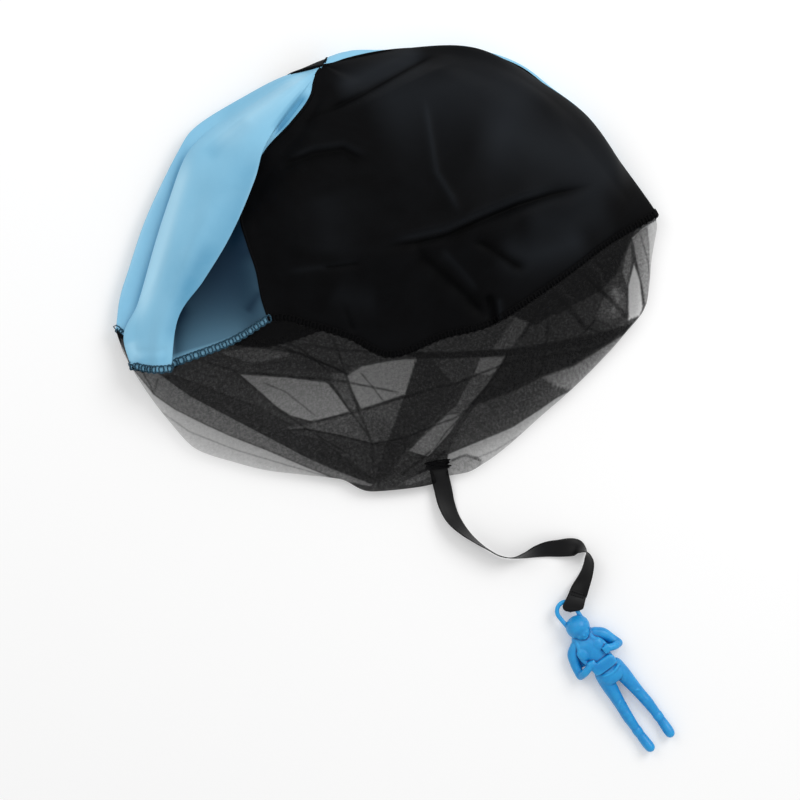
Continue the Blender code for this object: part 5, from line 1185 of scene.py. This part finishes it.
def gathered_net(rows, front_columns, back_columns):
    """The gathered net as one closed skirt, finer where it is seen from above. Its places round the hem sway by sums
    of sines whose reach grows down the net, so that it lies in pleats, its height rises and falls with the matching
    cosines, and it lies higher by 0.04 mm for each layer folded there."""
    round_it = np.concatenate([np.linspace(0.0, 2.0, front_columns, endpoint=False),
                               np.linspace(2.0, 4.0, back_columns, endpoint=False)])
    place, step = np.meshgrid(round_it, np.linspace(0.0, 1.0, rows))
    window = np.abs(np.sin(place * math.pi / 2)) ** 0.7
    window *= smooth_step(step, 0.0, 0.10) * (1 - 0.9 * smooth_step(step, 0.93, 1.0))
    chance = np.random.default_rng(11)
    shift = np.zeros_like(place)
    part = np.zeros_like(place)
    for turns, reach, rise in ((7, 0.045, 0.0008), (17, 0.018, 0.0004), (41, 0.006, 0.00018)):
        phase = chance.uniform(0, math.tau)
        drift = chance.uniform(-1.2, 1.2)
        uneven = sum(chance.uniform(0.25, 0.7) * np.sin(place * math.pi / 2 * k + chance.uniform(0, math.tau))
                     for k in (1, 2, 3, 5))
        angle = place * math.pi / 2 * turns + phase + drift * step + uneven * 1.2
        grow = 0.25 + 0.75 * smooth_step(step, 0.0, 0.75)
        shift += reach * grow * window * np.sin(angle)
        part += rise * window * grow * np.cos(angle)
    seen = net_seen(place + shift, step)
    front = place < 2.0
    layers = np.ones_like(place)
    layers[front] = net_layers(seen[..., :2][front])
    layers = 1.0 + (layers - 1.0) * np.where(front, span(place, 0.0, 0.02, 1.98, 2.0), 0.0)
    layers += np.where(front, 0.5 * part / 0.0008, 0.0) * smooth_step(layers, 2.0, 8.0)
    seen[..., 2] = np.maximum(seen[..., 2] + part * np.where(front, 1.0, 0.25)
                              + np.where(front, 0.0006 + 0.00004 * (layers - 1) * smooth_step(step, 0.0, 0.06), 0.0),
                              0.0003)
    return seen, round_it, layers


NET_ROWS = 160
NET_ROUND, NET_FALL = 0.68, 0.115  # the net's cloth, in metres, for its grain
net_grid_seen, net_round, net_folded = gathered_net(NET_ROWS, 500, 100)
u, v = np.meshgrid(np.append(net_round, 4.0) / 4 * NET_ROUND, np.linspace(0.0, 1.0, NET_ROWS) * NET_FALL)
net_shape = patch(to_world(net_grid_seen), np.stack([u, v], axis=-1), False, True, {"layers": net_folded})
net = build("tulle_skirt", net_shape, net_tulle)
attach(net, "canopy")
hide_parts("net_skirt")


# ---- gather ----

BINDING_MIDDLE = 0.0031  # from the net's end of the neck


def binding():
    """The bound neck of the net: six turns of thread side by side round its flattened outline, and two slanting
    turns over them."""
    turn = np.linspace(0.0, math.tau, 64, endpoint=False)
    pieces = []
    chance = np.random.default_rng(4)
    for k in range(6):
        wide = NECK_HALF_WIDTH + 0.0005 + chance.uniform(-0.0007, 0.0003)
        high = NECK_HALF_HEIGHT + 0.0007 + chance.uniform(-0.0002, 0.0002)
        slip = (k - 2.5) * 0.00068 + chance.uniform(-0.0002, 0.0002)
        line = (neck_middle + NECK_WAY * (BINDING_MIDDLE + slip + 0.0005 * np.sin(turn + 1.7 * k))[:, None]
                + neck_ring(turn, wide, high))
        pieces.append(tube(line, 0.00048, 8, NECK_WAY, True))
    for tilt in (-1.0, 1.0):
        line = (neck_middle + NECK_WAY * (BINDING_MIDDLE + tilt * 0.0017 * np.cos(turn))[:, None]
                + neck_ring(turn, NECK_HALF_WIDTH + 0.0013, NECK_HALF_HEIGHT + 0.0013))
        pieces.append(tube(line, 0.00045, 8, NECK_WAY, True))
    made = build("neck_binding", together(pieces), black_thread)
    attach(made, "canopy")
    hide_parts("net_gather_binding")


binding()


# ---- loop ----

# The turned-back end, from the lap over the ring's bar, down through the ring and back under the bar: the left and
# the right edge in the picture, and the height from the ring's middle in mm.
LOOP_ROUTE = (
    (570.2, 589, 587, 595, 0.55), (568.4, 593.6, 585.8, 598.6, 0.85), (566, 598.6, 584.8, 602.6, 1.60),
    (563.8, 603.2, 584, 606.2, 1.98), (562.6, 606.8, 582.4, 609.4, 2.00), (563.6, 609.6, 577.4, 611, 1.95),
    (565.4, 610.8, 572, 611.6, 1.10), (565.8, 610.6, 571.2, 612.2, -0.10), (566.2, 609.2, 571.6, 611, -1.25),
    (567, 606.8, 574.6, 609.4, -1.85), (568.6, 603, 580, 606.4, -1.85), (570, 598.6, 583.4, 601.4, -1.20),
    (571, 594.6, 585.4, 596.4, -0.60), (571.4, 592, 585.6, 593.6, -0.50),
)


def turned_end():
    """The loop's left and right edges as smooth curves through the route, and what follows from them: its middle
    line, half width, way across and way off its face."""
    route = np.array(LOOP_ROUTE)
    height = ring_middle[2] + route[:, 4] * 0.001
    left = to_world(np.column_stack([route[:, 0:2], height]))
    right = to_world(np.column_stack([route[:, 2:4], height]))
    keys = chord_keys((left + right) / 2)
    at = np.linspace(0.0, 1.0, 61)
    left, right = free(keys, left, at), free(keys, right, at)
    middle = (left + right) / 2
    side = unit(right - left)
    face = unit(np.cross(side, ways(middle)))
    return middle, np.linalg.norm(right - left, axis=1) / 2, side, face * np.sign(face[0, 2])


loop_middle, loop_half, loop_side, loop_face = turned_end()
loop = build("ribbon_end", band(loop_middle, loop_side, loop_face, loop_half), ribbon_satin, outwards=True)
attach(loop, "loop")
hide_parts("ribbon_end_loop")


LAP_ROWS = (2, 6)  # steps along the turned end that carry a row of stitches


def lap_stitches():
    """Two rows of stitches across the lap: short bowed threads, each an arch over the cloth."""
    row, k = np.repeat(LAP_ROWS, 6), np.tile(np.arange(6), len(LAP_ROWS))
    share = np.linspace(-1.0, 1.0, 7)
    across = ((k - 2.5) * 0.00125)[:, None] + share[None] * 0.00048
    line = (loop_middle[row][:, None] + loop_side[row][:, None] * across[..., None]
            + loop_face[row][:, None] * (0.00030 + 0.00028 * (1 - share**2))[None, :, None])
    along = unit(np.cross(loop_side[row], loop_face[row]))
    size = (0.0002 * np.array([0.2, 0.9, 1.0, 1.0, 1.0, 0.9, 0.2]))[None, :, None]
    grids = ringed(line, along[:, None] * size, loop_face[row][:, None] * size,
                   np.linspace(0.0, math.tau, 6, endpoint=False))
    made = build("lap_stitches", many(grids, None, False, True), black_thread)
    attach(made, "loop")
    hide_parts("loop_stitching")


lap_stitches()


# ---- figure ----

FIGURE_TURN = math.radians(-54.0)
REST = -0.0063  # the table, from the ring's middle
LOW = REST - 0.0005
TORSO_HEIGHT = REST + 0.0052 - 0.0005
CHEST = TORSO_HEIGHT + 0.0052


def limb(stations, flat=1.0, steps=18, sides=20):
    """A limb as a round tube through stations of (along, across, height, radius), its height squeezed by flat."""
    stations = np.array(stations, float)
    places = np.column_stack([stations[:, 1], -stations[:, 0], stations[:, 2]])
    keys = chord_keys(places)
    at = np.linspace(0.0, 1.0, steps)
    line = free(keys, places, at)
    radius = gentle(keys, stations[:, 3:], at)[:, 0]
    grid = tube_grid(line, radius, sides, Z_UP)
    middle = grid.mean(axis=1, keepdims=True)
    grid[..., 2] = middle[..., 2] + (grid[..., 2] - middle[..., 2]) * flat
    return patch(grid, None, False, True)


def rounded(along, across, height, size, power=2.0, turn=0.0):
    """A rounded form about a middle: a ball, or with a higher power a block with rounded edges, of half sizes."""
    v, u = np.meshgrid(np.linspace(-math.pi / 2, math.pi / 2, 25), np.linspace(0.0, math.tau, 36, endpoint=False),
                       indexing="ij")
    def swell(value):
        return np.sign(value) * np.abs(value) ** (2.0 / power)
    x = swell(np.cos(v)) * swell(np.cos(u)) * size[0]
    y = swell(np.cos(v)) * swell(np.sin(u)) * size[1]
    z = swell(np.sin(v)) * size[2]
    ct, st = math.cos(turn), math.sin(turn)
    grid = np.stack([across + x * ct - y * st, -along + x * st + y * ct, height + z], axis=-1)
    return patch(grid, None, False, True)


def figure():
    """The jumper as one moulding: overlapping limbs and forms, made one skin by voxels of 0.3 mm and smoothed."""
    mm = 0.001
    forms = []
    turn = np.linspace(0.0, math.pi, 25)
    arch = np.column_stack([0.0051 * np.cos(turn), 0.0051 * np.sin(turn), np.zeros(25)])
    arch = np.vstack([[0.0046, -0.0075, 0.0], [0.0049, -0.0035, 0.0], arch, [-0.0049, -0.0035, 0.0],
                      [-0.0046, -0.0075, 0.0]])
    forms.append(patch(tube_grid(arch, 0.00125, 14, Z_UP), None, False, True))
    # Helmet: a shell with a rolled rim, over a plain head.
    forms.append(rounded(10.6 * mm, 0.0, 0.3 * mm, (6.7 * mm, 6.3 * mm, 6.6 * mm)))
    forms.append(rounded(13.6 * mm, 0.0, 1.9 * mm, (4.4 * mm, 4.6 * mm, 4.2 * mm)))
    rim_turn = np.linspace(math.radians(14), math.radians(166), 31)
    rim = np.column_stack([5.3 * mm * np.cos(rim_turn), np.full(31, -14.0 * mm) + 1.2 * mm * np.sin(rim_turn),
                           0.6 * mm + 5.2 * mm * np.sin(rim_turn)])
    forms.append(patch(tube_grid(rim, 0.0006, 10, np.array([0.0, 1.0, 0.0])), None, False, True))
    # A plain face: brow, nose and chin as small soft forms.
    forms.append(rounded(15.3 * mm, 0.0, 5.4 * mm, (0.7 * mm, 1.2 * mm, 0.8 * mm)))
    forms.append(rounded(17.2 * mm, 0.0, 3.9 * mm, (1.7 * mm, 0.9 * mm, 1.0 * mm)))
    forms.append(limb(((14.6 * mm, -2.4 * mm, 5.0 * mm, 0.5 * mm), (14.5 * mm, 0.0, 5.5 * mm, 0.6 * mm),
                       (14.6 * mm, 2.4 * mm, 5.0 * mm, 0.5 * mm)), steps=9, sides=10))
    # Neck, collar and trunk.
    forms.append(limb(((13.5 * mm, 0.0, TORSO_HEIGHT + 0.001, 0.0035), (19.0 * mm, 0.0, TORSO_HEIGHT, 0.0036))))
    forms.append(limb(((18.6 * mm, -0.8 * mm, TORSO_HEIGHT, 0.0074), (21.5 * mm, -1.2 * mm, TORSO_HEIGHT, 0.0088),
                       (25.5 * mm, -1.2 * mm, TORSO_HEIGHT, 0.0090), (31.0 * mm, -0.9 * mm, TORSO_HEIGHT, 0.0078),
                       (36.0 * mm, -0.6 * mm, TORSO_HEIGHT, 0.0070), (40.5 * mm, -0.3 * mm, TORSO_HEIGHT, 0.0072)),
                      flat=0.68, steps=26, sides=32))
    for side in (-1.0, 1.0):
        # The chest leans a little to one side: a soft pad, and a broad lapel that runs down beside it.
        lean = -1.5 * mm
        forms.append(rounded(24.4 * mm, side * 4.6 * mm + lean, CHEST - 1.3 * mm, (3.5 * mm, 4.0 * mm, 2.3 * mm), 2.2,
                             side * math.radians(-14)))
        forms.append(limb(((15.8 * mm, side * 4.2 * mm + lean * 0.6, TORSO_HEIGHT + 2.0 * mm, 1.1 * mm),
                           (19.6 * mm, side * 4.4 * mm + lean, CHEST - 1.6 * mm, 1.4 * mm),
                           (24.4 * mm, side * 7.0 * mm + lean * 0.8, CHEST - 1.6 * mm, 1.4 * mm),
                           (30.2 * mm, side * 7.2 * mm + lean * 0.4, CHEST - 1.0 * mm, 1.2 * mm)), steps=16, sides=16))
        # A low web that joins the arm to the side.
        forms.append(rounded(27.6 * mm, side * 8.2 * mm, TORSO_HEIGHT - 0.8 * mm, (5.0 * mm, 3.6 * mm, 1.7 * mm), 2.6,
                             side * math.radians(10)))
        # Arm: shoulder, sleeve, elbow, forearm and hand.
        elbow_span = 12.8 * mm if side > 0 else 14.5 * mm
        elbow_place = 31.0 * mm if side > 0 else 33.4 * mm
        out = 0.0 if side > 0 else -2.1 * mm
        elbow_high = LOW + 5.2 * mm
        forms.append(limb(((18.8 * mm, side * 5.6 * mm + out * 0.6, TORSO_HEIGHT + 0.4 * mm, 3.2 * mm),
                           (21.6 * mm, side * 8.7 * mm + out, TORSO_HEIGHT + 0.2 * mm, 3.3 * mm),
                           (26.5 * mm, side * 11.0 * mm + out, TORSO_HEIGHT, 2.75 * mm),
                           (elbow_place, side * elbow_span, elbow_high, 2.5 * mm)), steps=20))
        forms.append(limb(((elbow_place, side * elbow_span, elbow_high, 2.5 * mm),
                           (elbow_place - 0.5 * mm, side * 10.0 * mm + out * 0.6, CHEST - 0.9 * mm, 2.15 * mm),
                           (elbow_place - 1.6 * mm, side * 7.4 * mm + out * 0.2, CHEST + 0.5 * mm, 2.0 * mm)),
                          steps=14))
        # Hand: a fist with four low knuckles.
        forms.append(rounded(elbow_place - 2.1 * mm, side * 6.1 * mm, CHEST + 0.8 * mm,
                             (2.5 * mm, 2.2 * mm, 1.7 * mm), 2.4, side * 0.3))
        for finger in range(4):
            forms.append(rounded(elbow_place - 3.4 * mm + finger * 0.95 * mm, side * 4.4 * mm, CHEST + 1.3 * mm,
                                 (1.0 * mm, 0.55 * mm, 0.8 * mm)))
        # Sleeve folds at the elbow.
        for fold in range(3):
            spot = 25.0 * mm + fold * 1.9 * mm
            reach = 10.4 * mm + fold * 0.75 * mm
            forms.append(limb(((spot, side * (reach - 1.7 * mm) + out, TORSO_HEIGHT + 1.0 * mm, 0.35 * mm),
                               (spot - 0.3 * mm, side * reach + out, TORSO_HEIGHT + 2.4 * mm, 0.45 * mm),
                               (spot + 0.2 * mm, side * (reach + 1.7 * mm) + out, TORSO_HEIGHT + 1.0 * mm, 0.35 * mm)),
                              steps=9, sides=8))
        # Leg: hip, thigh, knee, calf and boot.
        forms.append(limb(((40.0 * mm, side * 4.1 * mm, LOW + 5.2 * mm, 4.6 * mm),
                           (46.0 * mm, side * 4.9 * mm, LOW + 5.0 * mm, 4.3 * mm),
                           (54.0 * mm, side * 5.6 * mm, LOW + 4.5 * mm, 3.6 * mm),
                           (62.0 * mm, side * 6.3 * mm, LOW + 4.2 * mm, 3.15 * mm),
                           (66.0 * mm, side * 6.7 * mm, LOW + 4.3 * mm, 3.1 * mm),
                           (72.0 * mm, side * 6.9 * mm, LOW + 3.6 * mm, 2.75 * mm),
                           (79.0 * mm, side * 7.0 * mm, LOW + 3.2 * mm, 2.45 * mm)), steps=34, sides=24))
        forms.append(rounded(65.0 * mm, side * 6.6 * mm, LOW + 6.2 * mm, (2.1 * mm, 3.0 * mm, 1.3 * mm)))
        forms.append(limb(((76.0 * mm, side * 7.0 * mm, LOW + 3.4 * mm, 2.9 * mm),
                           (78.0 * mm, side * 7.0 * mm, LOW + 3.4 * mm, 2.75 * mm)), steps=5))
        forms.append(limb(((78.5 * mm, side * 7.0 * mm, LOW + 3.3 * mm, 2.5 * mm),
                           (82.0 * mm, side * 6.95 * mm, LOW + 3.4 * mm, 2.75 * mm),
                           (86.0 * mm, side * 6.8 * mm, LOW + 4.2 * mm, 2.85 * mm),
                           (87.6 * mm, side * 6.7 * mm, LOW + 4.6 * mm, 2.75 * mm)), steps=14, sides=20))
        # Trouser folds behind the knee and at the hip.
        for spot, reach, high, wide in ((48.5, 5.1, 8.6, 3.2), (57.5, 5.9, 7.7, 2.8), (70.0, 6.8, 6.3, 2.2)):
            forms.append(limb(((spot * mm - 1.2 * mm, side * (reach - wide * 0.8) * mm, LOW + (high - 1.2) * mm,
                                0.35 * mm),
                               (spot * mm, side * reach * mm, LOW + high * mm, 0.5 * mm),
                               (spot * mm + 1.4 * mm, side * (reach + wide * 0.8) * mm, LOW + (high - 1.3) * mm,
                                0.35 * mm)), steps=9, sides=8))
    # The flat reserve pack across the waist, and the soft front of the hips with a low belt.
    forms.append(rounded(35.2 * mm, -0.6 * mm, CHEST + 0.3 * mm, (7.2 * mm, 3.3 * mm, 2.2 * mm), 4.0))
    forms.append(rounded(42.4 * mm, -0.3 * mm, CHEST - 2.2 * mm, (6.8 * mm, 5.0 * mm, 2.9 * mm), 2.2))
    forms.append(limb(((39.2 * mm, -6.6 * mm, TORSO_HEIGHT + 1.6 * mm, 0.7 * mm),
                       (40.4 * mm, -4.2 * mm, CHEST - 0.2 * mm, 0.7 * mm),
                       (41.4 * mm, 0.3 * mm, CHEST + 0.4 * mm, 0.7 * mm),
                       (40.4 * mm, 4.8 * mm, CHEST - 0.2 * mm, 0.7 * mm),
                       (39.2 * mm, 7.2 * mm, TORSO_HEIGHT + 1.6 * mm, 0.7 * mm)), steps=22, sides=10))
    made = build("jumper", together(forms), blue_polythene, weld=0.00001, outwards=True)
    skin = made.modifiers.new("skin", "REMESH")
    skin.mode = "VOXEL"
    skin.voxel_size = 0.0003
    ease = made.modifiers.new("ease", "SMOOTH")
    ease.factor = 0.5
    ease.iterations = 12
    bpy.context.view_layer.update()
    graph = bpy.context.evaluated_depsgraph_get()
    mesh = bpy.data.meshes.new_from_object(made.evaluated_get(graph))
    made.modifiers.clear()
    made.data = mesh
    count = len(mesh.vertices)
    co = np.empty(count * 3)
    mesh.vertices.foreach_get("co", co)
    co = co.reshape(-1, 3)
    co[:, 2] = np.maximum(co[:, 2], REST)
    turn = FIGURE_TURN + math.pi / 2
    ct, st = math.cos(turn), math.sin(turn)
    x = ring_middle[0] + co[:, 0] * ct - co[:, 1] * st
    y = ring_middle[1] + co[:, 0] * st + co[:, 1] * ct
    mesh.vertices.foreach_set("co", np.stack([x, y, co[:, 2] + ring_middle[2]], axis=-1).reshape(-1))
    mesh.update()
    # Painted shade and painted highlight: how far each point lies below or above the mean of its neighbours, spread a
    # few steps along the skin; sunken parts are painted darker and bulging parts lighter.
    normal = np.empty(count * 3)
    mesh.vertices.foreach_get("normal", normal)
    normal = normal.reshape(-1, 3)
    edges = np.empty(len(mesh.edges) * 2, dtype=np.int32)
    mesh.edges.foreach_get("vertices", edges)
    a, b = edges.reshape(-1, 2).T
    points = np.stack([x, y, co[:, 2]], axis=-1)
    degree = np.bincount(a, minlength=count) + np.bincount(b, minlength=count)
    mean = np.stack([
        (np.bincount(a, points[b, axis], count) + np.bincount(b, points[a, axis], count)) / degree
        for axis in range(3)
    ], axis=-1)
    bend = ((mean - points) * normal).sum(axis=1)
    for _ in range(6):
        bend = 0.4 * bend + 0.6 * (np.bincount(a, bend[b], count) + np.bincount(b, bend[a], count)) / degree
    for label, way, strength in (("hollow_shade", 1.0, 1.0), ("raised_highlight", -1.0, 0.6)):
        share = smooth_step(bend * way, 0.000001, 0.000016) * strength
        mesh.attributes.new(label, "FLOAT", "POINT").data.foreach_set("value", share.astype(np.float32))
    mesh.polygons.foreach_set("use_smooth", np.ones(len(mesh.polygons), dtype=bool))
    mesh.materials.clear()
    mesh.materials.append(blue_polythene)
    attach(made, "figure")
    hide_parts("figure")


figure()


# ---- table and light ----

def table_top():
    """A plain white table that keeps a soft shadow: lit white, made up to white where the view looks at it."""
    made, tree = finish_named("white_table")
    path = add_node(tree, "ShaderNodeLightPath")
    seen = add_node(tree, "ShaderNodeMath", {"operation": "MAXIMUM"},
                    {0: path.outputs["Is Camera Ray"], 1: path.outputs["Is Transmission Ray"]})
    seen = add_node(tree, "ShaderNodeMath", {"operation": "MAXIMUM"},
                    {0: seen.outputs[0], 1: path.outputs["Is Glossy Ray"]})
    glow = add_node(tree, "ShaderNodeMath", {"operation": "MULTIPLY"}, {0: seen.outputs[0], 1: 0.14})
    white = add_node(tree, "ShaderNodeBsdfDiffuse", None, {"Color": colour("#F4F4F4")})
    lamp = add_node(tree, "ShaderNodeEmission", None, {"Color": (1, 1, 1, 1), "Strength": glow.outputs[0]})
    both = add_node(tree, "ShaderNodeAddShader", None, {0: white.outputs[0], 1: lamp.outputs[0]})
    add_node(tree, "ShaderNodeOutputMaterial", None, {"Surface": both.outputs[0]})
    grid = np.array([[[-3.0, -3.0, -0.0002], [3.0, -3.0, -0.0002]], [[-3.0, 3.0, -0.0002], [3.0, 3.0, -0.0002]]])
    return build("table_top", patch(grid), made)


table_top()

world = bpy.data.worlds.new("studio")
bpy.context.scene.world = world
world.use_nodes = True
tree = world.node_tree
tree.nodes.clear()
path = add_node(tree, "ShaderNodeLightPath")
seen = add_node(tree, "ShaderNodeMath", {"operation": "MAXIMUM"},
                {0: path.outputs["Is Camera Ray"], 1: path.outputs["Is Transmission Ray"]})
level = add_node(tree, "ShaderNodeMapRange", None,
                 {"Value": seen.outputs[0], "From Min": 0.0, "From Max": 1.0, "To Min": 0.62, "To Max": 1.0})
sky = add_node(tree, "ShaderNodeBackground", None, {"Color": (1, 1, 1, 1), "Strength": level.outputs[0]})
add_node(tree, "ShaderNodeOutputWorld", None, {"Surface": sky.outputs[0]})


def lamp(name, place, towards, size, power):
    """A square soft box that faces a point."""
    data = bpy.data.lights.new(name, "AREA")
    data.shape = "SQUARE"
    data.size = size
    data.energy = power
    made = bpy.data.objects.new(name, data)
    bpy.context.scene.collection.objects.link(made)
    made.location = place
    way = np.array(towards) - np.array(place)
    made.rotation_mode = "QUATERNION"
    made.rotation_quaternion = Vector(way).to_track_quat("-Z", "Y")


lamp("soft_box_upper_right", (0.75, 0.55, 0.95), (0.0, -0.1, 0.0), 0.7, 7.0)
lamp("soft_box_upper_left", (-0.7, 0.5, 1.1), (0.0, -0.1, 0.0), 0.8, 3.0)

bpy.context.scene.view_settings.view_transform = "Standard"
